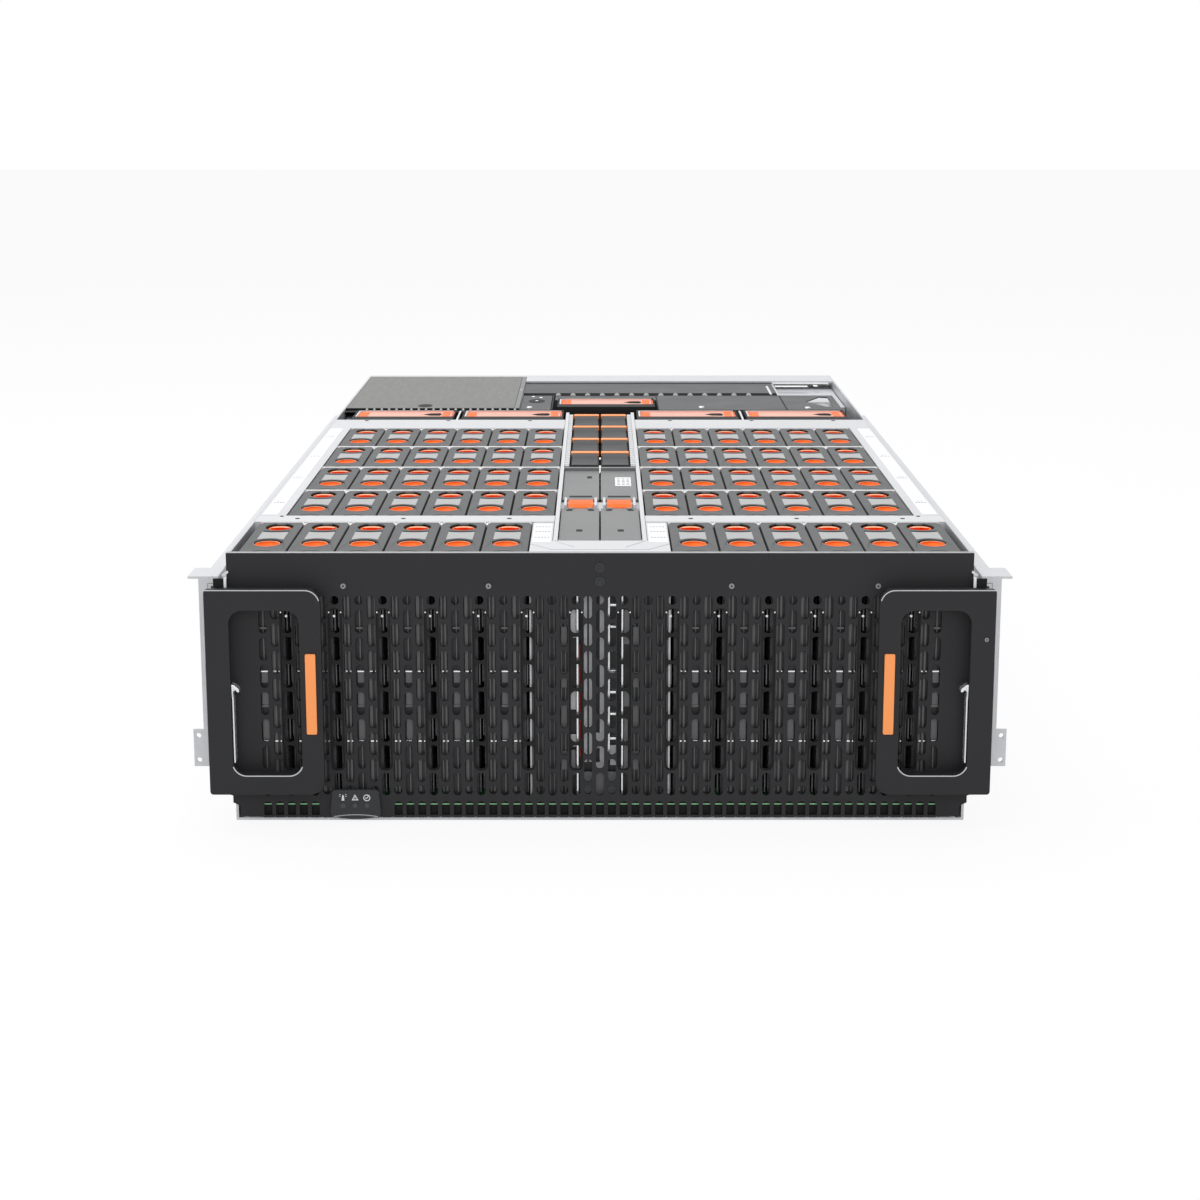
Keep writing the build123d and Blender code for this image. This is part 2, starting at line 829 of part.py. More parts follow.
def fan_rotor(x, start):
    """A hub with pitched blades that turns about Y on the pin."""
    middle = start + (rotor_start + rotor_end) / 2
    root = hub_radius - blade_sink
    with BuildPart(mode=Mode.PRIVATE) as blade:
        with Locations(Location(((blade_tip + root) / 2, 0, 0), (blade_pitch_angle, 0, 0))):
            Box(blade_tip - root, blade_thick, rotor_long)
    peg(x, (start + rotor_start, start + rotor_end), fan_axis_z, hub_radius, hub_sides)
    with Locations(Location((x, middle + front_y, fan_axis_z), (90, 0, 0))):
        with PolarLocations(0, blade_count):
            add(blade.part)
    bore = (start + rotor_end - pin_depth - pin_clear, start + rotor_end + 1)
    peg(x, bore, fan_axis_z, pin_radius + pin_fit, pin_sides, True, Mode.SUBTRACT)


def fan_handle(x, start):
    """The top grip plate with its tapered finger hole."""
    block(around(x, fan_wide), (start, start + fan_deep), (fan_body_top, chassis_height))
    hole = [(x + finger_hole_x + dx, start + finger_hole_y + dy) for dx, dy in finger_hole_outline]
    drawn_upward(hole, (fan_body_top - 1, chassis_height + 1), Mode.SUBTRACT)


def make_fans():
    with BuildPart() as fan_housings:
        for x in fan_x:
            fan_housing(x, fan_start)
    write(fan_housings, "fan_housings")
    with BuildPart() as fan_handles:
        for x in fan_x:
            fan_handle(x, fan_start)
    write(fan_handles, "fan_handles")
    for index, x in enumerate(fan_x):
        with BuildPart() as rotor:
            fan_rotor(x, fan_start)
        write(rotor, f"fan_rotor_{index + 1}")
    with BuildPart() as rear_fan_housing:
        fan_housing(rear_fan_x, rear_fan_start)
    write(rear_fan_housing, "rear_fan_housing")
    with BuildPart() as rear_fan_handle:
        fan_handle(rear_fan_x, rear_fan_start)
    write(rear_fan_handle, "rear_fan_handle")
    with BuildPart() as rear_fan_rotor:
        fan_rotor(rear_fan_x, rear_fan_start)
    write(rear_fan_rotor, "rear_fan_rotor")


# Rear bays


def make_baffles():
    """Air baffles beside the rear fan, each a top sheet with a skirt folded down at its front."""
    top = chassis_height - baffle_drop
    rear = baffle_start + baffle_deep
    with BuildPart() as baffles:
        for across, skirt in zip(baffle_spans, skirt_spans):
            block(across, (baffle_start, rear), (top - baffle_thick, top))
            block(skirt, (baffle_start, baffle_start + baffle_thick), (top - baffle_skirt, top - baffle_thick))
    write(baffles, "baffles")


def bail(x, low):
    """A bail handle on the rear face of a module."""
    out = rear_face + pull_proud
    outline = [
        (rear_face, low + pull_low),
        (out, low + pull_low),
        (out, low + pull_high),
        (rear_face, low + pull_high),
        (rear_face, low + pull_high - pull_bar),
        (out - pull_bar, low + pull_high - pull_bar),
        (out - pull_bar, low + pull_low + pull_bar),
        (rear_face, low + pull_low + pull_bar),
    ]
    drawn_along_x(outline, around(x, pull_wide))


def make_rear():
    with BuildPart() as rear_cover:
        along = (rear_cover_start, rear_face - rear_rim_lip - seat)
        block((-wall_inner, rear_left_wall), along, (chassis_height - rear_cover_thick, chassis_height))
    write(rear_cover, "rear_cover")
    make_baffles()
    board_from = baffle_start + baffle_deep + rear_board_gap
    with BuildPart() as rear_board:
        across = (rear_left_wall + board_gap, rear_right_wall - board_gap)
        block(across, (board_from, rear_frame_start - board_gap), (board_low, board_top))
    write(rear_board, "rear_board")
    face = baffle_start + baffle_deep + vent_sheet_gap
    outline = [
        (face, vent_sheet_foot),
        (face, vent_sheet_top),
        (rear_frame_start, vent_sheet_top),
        (rear_frame_start, vent_sheet_top - sheet),
        (face + sheet, vent_sheet_top - sheet),
        (face + sheet, vent_sheet_foot),
    ]
    with BuildPart() as vent_sheet:
        drawn_along_x(outline, (rear_left_wall + seat, rear_right_wall - seat))
    write(vent_sheet, "vent_sheet")
    controller_x = (-wall_inner + bay_clear, rear_left_wall - sheet - bay_clear)
    supply_x = (rear_right_wall + sheet + bay_clear, wall_inner - bay_clear)
    with BuildPart() as controllers:
        for level in range(2):
            low = sheet + level * (controller_tall + seat)
            block(controller_x, (rear_cover_start + controller_gap, rear_face), (low, low + controller_tall))
            for x in (controller_x[0] + pull_inset, controller_x[1] - pull_inset):
                bail(x, low)
    write(controllers, "controllers")
    with BuildPart() as power_supplies:
        for level in range(2):
            low = sheet + level * (supply_tall + seat)
            block(supply_x, (rear_face - supply_long, rear_face), (low, low + supply_tall))
            bail(supply_x[0] + pull_inset, low)
    write(power_supplies, "power_supplies")


# Slide rails


def middle_rail_outline():
    """A C that opens toward the chassis."""
    low = rail_mid_z - middle_half
    high = rail_mid_z + middle_half
    inside = middle_rail_out - rail_skin
    return [
        (middle_rail_in, low),
        (middle_rail_out, low),
        (middle_rail_out, high),
        (middle_rail_in, high),
        (middle_rail_in, high - rail_skin),
        (inside, high - rail_skin),
        (inside, low + rail_skin),
        (middle_rail_in, low + rail_skin),
    ]


def outer_rail_outline():
    """A C with thick lips round the middle rail."""
    return [
        (outer_lip_in, rail_low),
        (outer_rail_out, rail_low),
        (outer_rail_out, rail_high),
        (outer_lip_in, rail_high),
        (outer_lip_in, rail_high - rail_lip),
        (outer_web_in, rail_high - rail_lip),
        (outer_web_in, rail_low + rail_lip),
        (outer_lip_in, rail_low + rail_lip),
    ]


def bracket_outline():
    """The front bracket: an upright plate under a wide top flange."""
    under = bracket_high - flange_thick
    return [
        (outer_rail_out, bracket_low),
        (bracket_out, bracket_low),
        (bracket_out, under),
        (flange_out, under),
        (flange_out, bracket_high),
        (flange_in, bracket_high),
        (flange_in, under),
        (outer_rail_out, under),
    ]


def rack_tab(side, x_from, y, middle_z):
    """A tab with two screw holes at the rack's hole spacing."""
    block(span(side, x_from, flange_out), (y, y + rack_tab_thick), around(middle_z, 2 * rack_tab_half))
    for z in around(middle_z, rack_hole_spacing):
        with Locations(Location((side * rack_hole_x, y + rack_tab_thick / 2 + front_y, z), (90, 0, 0))):
            Cylinder(rack_hole_radius, 2 * rack_tab_thick, mode=Mode.SUBTRACT)


def make_rails():
    with BuildPart() as rail_inner:
        for side in (-1, 1):
            across = span(side, wall_outer, inner_rail_out)
            block(across, (rail_start, inner_end), around(rail_mid_z, 2 * inner_half))
    write(rail_inner, "rail_inner")
    with BuildPart() as rail_middle:
        for side in (-1, 1):
            drawn_along_y(mirrored(middle_rail_outline(), side), (rail_start, middle_end))
    write(rail_middle, "rail_middle")
    with BuildPart() as rail_outer:
        for side in (-1, 1):
            drawn_along_y(mirrored(outer_rail_outline(), side), (rail_start, outer_end))
            drawn_along_y(mirrored(bracket_outline(), side), (rail_start, rail_start + bracket_long))
            rack_tab(side, bracket_out, rail_start, rack_hole_mid_z)
            rack_tab(side, outer_rail_out, outer_end - rack_tab_thick, rail_mid_z)
    write(rail_outer, "rail_outer")


make_shell()
make_bezel()
make_ears()
make_status()
make_drives(front_places(), "front")
make_drives(row_places(), "rows")
make_board()
make_deck()
make_bay()
make_fans()
make_rear()
make_rails()
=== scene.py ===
import math

import bmesh
import bpy
from mathutils import Matrix, Vector


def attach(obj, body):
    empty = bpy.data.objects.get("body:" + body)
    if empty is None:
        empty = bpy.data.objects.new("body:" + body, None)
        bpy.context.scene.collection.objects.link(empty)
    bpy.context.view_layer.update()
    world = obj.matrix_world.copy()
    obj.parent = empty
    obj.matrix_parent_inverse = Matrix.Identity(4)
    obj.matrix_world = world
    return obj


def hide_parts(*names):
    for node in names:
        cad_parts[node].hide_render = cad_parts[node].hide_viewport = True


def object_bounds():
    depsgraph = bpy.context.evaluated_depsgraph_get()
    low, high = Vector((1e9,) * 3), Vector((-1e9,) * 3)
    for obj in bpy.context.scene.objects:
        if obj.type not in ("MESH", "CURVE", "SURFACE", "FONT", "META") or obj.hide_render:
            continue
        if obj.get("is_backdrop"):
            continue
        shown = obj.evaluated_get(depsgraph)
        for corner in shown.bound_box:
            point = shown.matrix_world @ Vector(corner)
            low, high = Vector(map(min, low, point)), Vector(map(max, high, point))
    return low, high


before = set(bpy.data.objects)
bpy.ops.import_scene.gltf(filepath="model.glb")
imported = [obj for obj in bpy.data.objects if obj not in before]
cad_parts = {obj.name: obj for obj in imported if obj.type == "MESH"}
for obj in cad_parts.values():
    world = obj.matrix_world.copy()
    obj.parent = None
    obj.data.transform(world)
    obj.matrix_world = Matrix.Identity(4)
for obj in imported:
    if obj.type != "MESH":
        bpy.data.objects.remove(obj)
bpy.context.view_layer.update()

# Sizes in millimetres; Y counts from the bezel's front face. The wells are longer than in the part's source.
FRONT = -457.0
TOP = 171.0
DRIVE_TOP = 161.0
PITCH = 29.8
CARRIER = (28.4, 98.0)
WELLS = ((18.0, 26.2), (18.0, 24.6))
WELL_MIDDLES = (-21.4, 33.8)
COLUMN = 7.42
LABEL_LEVEL = (170.95, 171.1)
PRINT_LEVEL = (171.1, 171.16)
BAFFLE_SPAN = (672.1, 771.9)
COVER_SPAN = (670.5, 903.4)
GRIP_OFFSET = 38.6
FLOOR_WHITE = 0.9
SLOT_PITCH = 17.37
LABEL_MIDDLE = 220.3
DRIVE_HALF = 50.8
EAR_MIDDLE = (170.4 + 241.3) / 2


def linear(value):
    """One sRGB channel, 0 to 255, as linear light."""
    c = value / 255
    return c / 12.92 if c <= 0.04045 else ((c + 0.055) / 1.055) ** 2.4


def rgb(red, green, blue):
    return (linear(red), linear(green), linear(blue), 1.0)


# Materials


def new_material(name):
    material = bpy.data.materials.new(name)
    material.use_nodes = True
    return material, material.node_tree, material.node_tree.nodes["Principled BSDF"]


def surface(
    name,
    colour,
    rough=0.4,
    metal=0.0,
    grain=400.0,
    depth=0.05,
    vary=0.08,
    stretch=(1, 1, 1),
    coat=0.0,
    streak=None,
):
    """A base colour with fine variation or streaks, and a bump and roughness of the same grain."""
    material, tree, shader = new_material(name)
    nodes, links = tree.nodes, tree.links
    place = nodes.new("ShaderNodeTexCoord")
    mapping = nodes.new("ShaderNodeMapping")
    mapping.inputs["Scale"].default_value = stretch
    fine = nodes.new("ShaderNodeTexNoise")
    fine.inputs["Scale"].default_value = grain
    fine.inputs["Detail"].default_value = 4.0
    broad = nodes.new("ShaderNodeTexNoise")
    broad.inputs["Scale"].default_value = grain / 30
    broad.inputs["Detail"].default_value = 2.0
    links.new(place.outputs["Object"], mapping.inputs["Vector"])
    links.new(mapping.outputs["Vector"], fine.inputs["Vector"])
    links.new(mapping.outputs["Vector"], broad.inputs["Vector"])
    blend = nodes.new("ShaderNodeMath")
    blend.operation = "ADD"
    half = nodes.new("ShaderNodeMath")
    half.operation = "MULTIPLY"
    half.inputs[1].default_value = 0.5
    links.new(fine.outputs["Fac"], blend.inputs[0])
    links.new(broad.outputs["Fac"], blend.inputs[1])
    links.new(blend.outputs["Value"], half.inputs[0])
    ramp = nodes.new("ShaderNodeValToRGB")
    ramp.color_ramp.elements[0].position = 0.3
    ramp.color_ramp.elements[1].position = 0.7
    ramp.color_ramp.elements[0].color = streak or tuple(c * (1 - vary) for c in colour[:3]) + (1,)
    ramp.color_ramp.elements[1].color = tuple(min(1, c * (1 + vary)) for c in colour[:3]) + (1,)
    links.new(half.outputs["Value"], ramp.inputs["Fac"])
    links.new(ramp.outputs["Color"], shader.inputs["Base Color"])
    spread = nodes.new("ShaderNodeMapRange")
    spread.inputs["To Min"].default_value = max(0.02, rough - 0.08)
    spread.inputs["To Max"].default_value = min(1.0, rough + 0.08)
    links.new(broad.outputs["Fac"], spread.inputs["Value"])
    links.new(spread.outputs["Result"], shader.inputs["Roughness"])
    bump = nodes.new("ShaderNodeBump")
    bump.inputs["Strength"].default_value = depth
    bump.inputs["Distance"].default_value = 0.0005
    links.new(fine.outputs["Fac"], bump.inputs["Height"])
    links.new(bump.outputs["Normal"], shader.inputs["Normal"])
    shader.inputs["Metallic"].default_value = metal
    shader.inputs["Coat Weight"].default_value = coat
    shader.inputs["Specular IOR Level"].default_value = 0.5 if metal else 0.18
    return material


GALVANISED = surface("galvanised", rgb(205, 206, 209), 0.42, 0.35, 260, 0.04, 0.05)
WALL_STEEL = surface("wall_steel", rgb(196, 197, 200), 0.4, 0.45, 200, 0.04, 0.06, (1, 0.25, 1))
WHITE = surface("white_coat", rgb(212, 213, 215), 0.5, 0.0, 500, 0.03, 0.03)
BLACK = surface("black_coat", rgb(44, 44, 46), 0.48, 0.0, 1500, 0.06, 0.06)
# Near black for painted shade in the gaps between drives and in the fans' finger holes.
GAP_SHADE = surface("painted_gap_shade", rgb(8, 8, 9), 0.8, 0.0, 900, 0.02, 0.1)
# Pale grey for painted highlights along the top edges of the bezel and the handle ears.
EDGE_HIGHLIGHT = surface("painted_edge_highlight", rgb(196, 197, 199), 0.4, 0.2, 900, 0.02, 0.04)
# Grey for painted highlights: the top lip of the black bezel and the line along each carrier's near well rim;
# the carriers' lip tabs use it too.
LIP_HIGHLIGHT = surface("painted_lip_highlight", rgb(140, 141, 142), 0.4, 0.2, 900, 0.03, 0.04)
BRIGHT_WHITE = surface("bright_white", rgb(240, 240, 241), 0.5, 0.0, 700, 0.02, 0.02)
GREEN_LINE = surface("green_line", rgb(160, 225, 168), 0.5, 0.0, 900, 0.02, 0.03)
# Near black for painted shade in the grille's recessed bands.
RECESS_SHADE = surface("painted_recess_shade", rgb(26, 26, 27), 0.42, 0.0, 1500, 0.05, 0.06)
# Near black, both for black parts such as the fan housings and caddies, and as painted shade in wells, slots,
# holes and behind the grille's arches.
BLACK_AND_SHADE = surface("black_and_painted_shade", rgb(24, 24, 25), 0.6, 0.0, 900, 0.05, 0.1)
PLASTIC = surface("carrier_plastic", rgb(88, 89, 90), 0.5, 0.0, 2500, 0.12, 0.07)
DARK_PLASTIC = surface("dark_plastic", rgb(58, 59, 61), 0.5, 0.0, 2000, 0.1, 0.08)
BRIDGE = surface("bridge_plate", rgb(172, 173, 174), 0.38, 0.0, 1800, 0.05, 0.06, (1, 6, 1))
ORANGE = surface("orange_plastic", rgb(255, 106, 2), 0.42, 0.0, 1500, 0.05, 0.05)
PALE_ORANGE = surface("pale_orange", rgb(255, 160, 96), 0.45, 0.0, 1500, 0.04, 0.03)
# Pale orange for the painted highlight on the far edge of each finger cup.
CUP_HIGHLIGHT = surface("painted_cup_highlight", rgb(255, 184, 140), 0.4, 0.0, 1500, 0.03, 0.03)
SALMON = surface(
    "salmon_grip", rgb(228, 158, 130), 0.3, 0.0, 90, 0.03, 0.1, (1, 5, 1), 0.4, rgb(220, 120, 84)
)
MODULE = surface("module_steel", rgb(112, 113, 114), 0.42, 0.15, 700, 0.05, 0.05)
COVER = surface("cover_satin", rgb(108, 108, 106), 0.4, 0.0, 900, 0.05, 0.04, (8, 1, 1))
BAFFLE = surface("baffle_coat", rgb(72, 73, 75), 0.45, 0.0, 900, 0.05, 0.06)
LABEL = surface("label_paper", rgb(238, 239, 241), 0.6, 0.0, 900, 0.02, 0.02)
PRINT = surface("label_print", rgb(120, 122, 126), 0.6, 0.0, 900, 0.02, 0.05)
ICON = surface("icon_paint", rgb(225, 226, 228), 0.6, 0.0, 900, 0.02, 0.02)
BOARD = surface("board_mask", rgb(118, 196, 128), 0.45, 0.0, 800, 0.04, 0.08)
CHIP = surface("chip_black", rgb(30, 30, 32), 0.5, 0.0, 900, 0.04, 0.05)
DRIVE = surface("drive_case", rgb(150, 152, 155), 0.36, 0.6, 500, 0.05, 0.06)
DRIVE_FACE = surface("drive_face", rgb(46, 46, 48), 0.5, 0.2, 900, 0.05, 0.1)
BRIGHT = surface("bright_steel", rgb(228, 229, 231), 0.2, 0.7, 600, 0.03, 0.03)
SCREW = surface("screw_zinc", rgb(138, 139, 141), 0.35, 0.5, 600, 0.03, 0.05)
PALE_GREEN = surface("board_edge", rgb(150, 215, 160), 0.5, 0.0, 900, 0.02, 0.03)
PALE_SHEET = surface("pale_sheet", rgb(188, 189, 191), 0.5, 0.1, 500, 0.02, 0.03)
MID_SHEET = surface("mid_sheet", rgb(112, 113, 115), 0.5, 0.1, 700, 0.03, 0.05)
RIDGE = surface("drive_ridge", rgb(92, 92, 94), 0.45, 0.1, 900, 0.04, 0.05)
RED = surface("cable_red", rgb(190, 40, 24), 0.5, 0.0, 900, 0.02, 0.05)
LENS = surface("lens_smoked", rgb(78, 79, 82), 0.25, 0.0, 900, 0.02, 0.04)
ROTOR = surface("rotor_plastic", rgb(30, 30, 31), 0.5, 0.0, 900, 0.05, 0.08)


# Shapes


def place(y):
    """A Y that counts from the bezel, in the row frame."""
    return y + FRONT


class Shape:
    """Collects geometry in millimetres and ends as one piece in metres."""

    def __init__(self):
        self.mesh = bmesh.new()

    def box(self, xs, ys, zs, bevel=0.0, turn=None):
        """A box between three spans; Y spans count from the bezel."""
        made = bmesh.ops.create_cube(self.mesh, size=1.0)["verts"]
        size = Vector((xs[1] - xs[0], ys[1] - ys[0], zs[1] - zs[0]))
        middle = Vector((sum(xs) / 2, place(sum(ys) / 2), sum(zs) / 2))
        bmesh.ops.scale(self.mesh, vec=size, verts=made)
        if turn:
            bmesh.ops.rotate(self.mesh, cent=(0, 0, 0), matrix=turn, verts=made)
        bmesh.ops.translate(self.mesh, vec=middle, verts=made)
        if bevel:
            edges = list(dict.fromkeys(e for v in made for e in v.link_edges))
            bmesh.ops.bevel(self.mesh, geom=edges, offset=bevel, segments=2, affect="EDGES", profile=0.5)

    def tube(self, centre, radius, span, sides=24, axis="Y", tip=None):
        """A cylinder or cone along Y or Z; centre gives the other two values."""
        far = radius if tip is None else tip
        made = bmesh.ops.create_cone(
            self.mesh, cap_ends=True, segments=sides, radius1=radius, radius2=far, depth=span[1] - span[0]
        )["verts"]
        if axis == "Y":
            turn = Matrix.Rotation(math.radians(90), 3, "X")
            bmesh.ops.rotate(self.mesh, cent=(0, 0, 0), matrix=turn, verts=made)
            middle = Vector((centre[0], place(sum(span) / 2), centre[1]))
        else:
            middle = Vector((centre[0], place(centre[1]), sum(span) / 2))
        bmesh.ops.translate(self.mesh, vec=middle, verts=made)

    def put(self, mesh, matrix):
        """Adds a ready mesh at a matrix."""
        moved = mesh.copy()
        moved.transform(matrix)
        self.mesh.from_mesh(moved)
        bpy.data.meshes.remove(moved)

    def prism(self, points, xs, bevel=0.0):
        """A closed profile of (y, z) points drawn along X."""
        low = [self.mesh.verts.new((xs[0], place(y), z)) for y, z in points]
        high = [self.mesh.verts.new((xs[1], place(y), z)) for y, z in points]
        faces = [self.mesh.faces.new(low), self.mesh.faces.new(high[::-1])]
        for i in range(len(points)):
            j = (i + 1) % len(points)
            faces.append(self.mesh.faces.new((low[j], low[i], high[i], high[j])))
        if bevel:
            edges = list(dict.fromkeys(e for f in faces for e in f.edges))
            bmesh.ops.bevel(self.mesh, geom=edges, offset=bevel, segments=2, affect="EDGES", profile=0.5)

    def finish(self, name, material, body, node=None, slot=None):
        """Makes the object, in metres, riding on its CAD body."""
        bmesh.ops.recalc_face_normals(self.mesh, faces=self.mesh.faces)
        data = bpy.data.meshes.new(name)
        self.mesh.transform(Matrix.Scale(0.001, 4))
        self.mesh.to_mesh(data)
        self.mesh.free()
        data.materials.append(material)
        piece = bpy.data.objects.new(name, data)
        bpy.context.scene.collection.objects.link(piece)
        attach(piece, body)
        for one in [node] if isinstance(node, str) else node or []:
            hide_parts(one)


def plate(outer, holes, thick, bevel=0.2):
    """A mesh for a flat plate with holes, in XY about Z 0, with small bevels on every rim."""
    curve = bpy.data.curves.new("outline", "CURVE")
    curve.dimensions = "2D"
    curve.fill_mode = "BOTH"
    curve.extrude = thick / 2
    for loop in [outer] + list(holes):
        spline = curve.splines.new("POLY")
        spline.points.add(len(loop) - 1)
        for point, (x, y) in zip(spline.points, loop):
            point.co = (x, y, 0, 1)
        spline.use_cyclic_u = True
    holder = bpy.data.objects.new("outline", curve)
    bpy.context.scene.collection.objects.link(holder)
    bpy.context.view_layer.update()
    mesh = bpy.data.meshes.new_from_object(holder.evaluated_get(bpy.context.evaluated_depsgraph_get()))
    bpy.data.objects.remove(holder)
    bpy.data.curves.remove(curve)
    mesh.materials.clear()
    if bevel:
        work = bmesh.new()
        work.from_mesh(mesh)
        bmesh.ops.remove_doubles(work, verts=work.verts, dist=0.001)
        bmesh.ops.recalc_face_normals(work, faces=work.faces)
        rims = [e for e in work.edges if len(e.link_faces) == 2 and e.calc_face_angle() > 1.2]
        rims = [e for e in rims if abs(e.verts[0].co.z - e.verts[1].co.z) < 0.001]
        bmesh.ops.bevel(
            work, geom=rims, offset=bevel, segments=2, affect="EDGES", profile=0.5, clamp_overlap=True
        )
        work.to_mesh(mesh)
        work.free()
    return mesh


def rounded(middle, size, radius, steps=5):
    """Points of a rectangle with round corners."""
    points = []
    for turn, (sx, sy) in enumerate(((1, 1), (-1, 1), (-1, -1), (1, -1))):
        cx = middle[0] + sx * (size[0] / 2 - radius)
        cy = middle[1] + sy * (size[1] / 2 - radius)
        for step in range(steps + 1):
            a = math.radians(90 * (turn + step / steps))
            points.append((cx + radius * math.cos(a), cy + radius * math.sin(a)))
    return points


def ellipse(middle, size, steps=24, start=0.0, sweep=360.0):
    """Points round an ellipse, or along part of one."""
    count = steps if sweep == 360.0 else steps + 1
    return [
        (
            middle[0] + size[0] / 2 * math.cos(math.radians(start + sweep * i / steps)),
            middle[1] + size[1] / 2 * math.sin(math.radians(start + sweep * i / steps)),
        )
        for i in range(count)
    ]


def scaled(points, middle, factor):
    """A loop of points drawn in or out about a middle."""
    return [(middle[0] + (x - middle[0]) * factor, middle[1] + (y - middle[1]) * factor) for x, y in points]


def arc_band(middle, radius, wide, start, sweep, steps=8):
    """Points of a narrow band along part of a circle."""
    outer = ellipse(middle, (2 * radius, 2 * radius), steps, start, sweep)
    inner = ellipse(middle, (2 * radius - 2 * wide, 2 * radius - 2 * wide), steps, start, sweep)
    return outer + inner[::-1]


def dish(size, profile, sides=28):
    """A closed round dish; the profile gives shares of the radius and heights, from top to underside."""
    work = bmesh.new()
    rings = []
    for share, z in profile:
        if share == 0:
            rings.append([work.verts.new((0, 0, z))])
            continue
        rings.append([work.verts.new((x * share, y * share, z)) for x, y in ellipse((0, 0), size, sides)])
    for one, two in zip(rings, rings[1:]):
        for i in range(sides):
            j = (i + 1) % sides
            corners = [one[i % len(one)], one[j % len(one)], two[j % len(two)], two[i % len(two)]]
            work.faces.new(list(dict.fromkeys(corners)))
    bmesh.ops.recalc_face_normals(work, faces=work.faces)
    for face in work.faces:
        face.smooth = True
    mesh = bpy.data.meshes.new("dish")
    work.to_mesh(mesh)
    work.free()
    return mesh


def washer(outer, inner, thick, bevel, sides=24, inner_sides=24):
    """A round plate with a hole in its middle; outer and inner are diameters."""
    hole = ellipse((0, 0), (inner, inner), inner_sides)
    return plate(ellipse((0, 0), (outer, outer), sides), [hole], thick, bevel)


UPRIGHT = Matrix.Rotation(math.radians(90), 4, "X")


def upright(x, y, z):
    """A matrix that stands a flat plate up, facing the front."""
    return Matrix.Translation((x, place(y), z)) @ UPRIGHT


def level(x, y, z):
    return Matrix.Translation((x, place(y), z))


def paint(name, material, width=0.3):
    """A material and small bevels on a CAD node that is shown as it is."""
    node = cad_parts[name]
    node.data.materials.clear()
    node.data.materials.append(material)
    bevel = node.modifiers.new("edges", "BEVEL")
    bevel.width = width / 1000
    bevel.segments = 2
    bevel.limit_method = "ANGLE"
    bevel.angle_limit = math.radians(40)


# Bezel


def slot_loops():
    """Rounded slots, short slots and notches of the bezel's grille."""
    loops = []
    for k in range(-28, 29):
        x = k * COLUMN
        top = 135.5 if k % 2 == 0 else 144.4
        band = k % 4 == 2
        if band:
            loops.append(rounded((x, 84.7), (8.6, 103.6), 3.6, 4))
        for row in range(6 if band else 0, 7):
            loops.append(rounded((x, top - 7.4 - row * SLOT_PITCH), (5.0, 14.8), 2.45, 4))
        short = (144.4 - 2.9) if k % 2 == 0 else 20.1
        loops.append(rounded((x, short), (5.0, 5.6), 2.4, 4))
        if not -173 < x < -133:
            arch = [(x - 2.5, 3.8), (x + 2.5, 3.8)]
            arch += ellipse((x, 10.3), (5.0, 5.0), 6, 0, 180)
            loops.append(arch)
    return loops


def bezel_outline():
    right = [(229, 171.2), (229, 155), (232.6, 153.5), (232.6, 17.5)]
    right += [(229.5, 16.5), (229.5, 12), (225.2, 10), (225.2, 3.0)]
    teeth = []
    for k in range(28, -29, -1):
        x = k * COLUMN
        teeth += [(x + 3.2, 3.0), (x + 2.3, 2.2), (x - 2.3, 2.2), (x - 3.2, 3.0)]
    return right + teeth + [(-x, y) for x, y in right[::-1]]


shape = Shape()
shape.put(plate(bezel_outline(), slot_loops(), 1.9, 0.25), upright(0, 0.98, 0))
shape.finish("bezel_front", BLACK, "chassis", "front_bezel", "black_coat")
# Recessed strips in every fourth column, darker than the bezel: painted shade in the recess.
band_slots = [rounded((0, 135.5 - 7.4 - row * SLOT_PITCH - 84.7), (6.6, 15.2), 3.2, 5) for row in range(6)]
band_plate = plate(rounded((0, 0), (8.58, 103.58), 3.6, 4), band_slots, 0.9, 0.3)
shape = Shape()
for k in range(-26, 27, 4):
    shape.put(band_plate, upright(k * COLUMN, 1.55, 84.7))
shape.finish("bezel_bands", RECESS_SHADE, "chassis")
# Small bright dots at the top corners of each recessed band: painted highlights where the embossed corners
# catch the light.
shape = Shape()
for k in range(-26, 27, 4):
    for side in (-1, 1):
        shape.tube((k * COLUMN + side * 3.7, 133.9), 0.5, (0.4, 1.6), 10)
shape.finish("band_corner_highlights", BRIGHT, "chassis")
# The bezel's top lip is grey as a painted highlight on the black coat.
shape = Shape()
shape.box((-226.3, 226.3), (1.9, 4.9), (165.5, 170.9), 0.4)
shape.box((-228.8, 228.8), (0.45, 3.6), (170.2, 171.4), 0.2)
shape.finish("bezel_lip", LIP_HIGHLIGHT, "chassis")
# Thin pale strips along the bezel's top edges: painted highlights.
shape = Shape()
shape.box((-228.8, 228.8), (0.05, 0.5), (170.95, 171.4), 0.12)
shape.box((-226.3, 226.3), (3.6, 4.1), (170.9, 171.35), 0.12)
shape.finish("bezel_top_highlights", EDGE_HIGHLIGHT, "chassis")
shape = Shape()
shape.box((-220.5, 220.5), (3.2, 4.2), (0.5, 1.8), 0.15)
for side in (-1, 1):
    shape.box(sorted((side * 220.5, side * 223.0)), (3.2, 4.2), (0.9, 3.0), 0.15)
shape.finish("base_front_edge", BRIGHT_WHITE, "chassis")
shape = Shape()
for x in (-157.6, -68.4, 80.8, 170.7):
    shape.put(washer(3.4, 1.3, 0.5, 0.12, 16, 6), upright(x, -0.3, 150.5))
shape.put(washer(2.6, 1.0, 0.5, 0.12, 16, 6), upright(236.0, -14.3, 120))
shape.finish("front_screw_heads", SCREW, "chassis", "front_screws", "bright_steel")
shape = Shape()
for z in (153.3, 162.0):
    shape.put(washer(6.0, 3.4, 0.5, 0.15), upright(0, -0.28, z))
    shape.tube((0, z), 1.5, (-0.3, 0.0))
shape.finish("bezel_rings", DARK_PLASTIC, "chassis")

# Handle ears

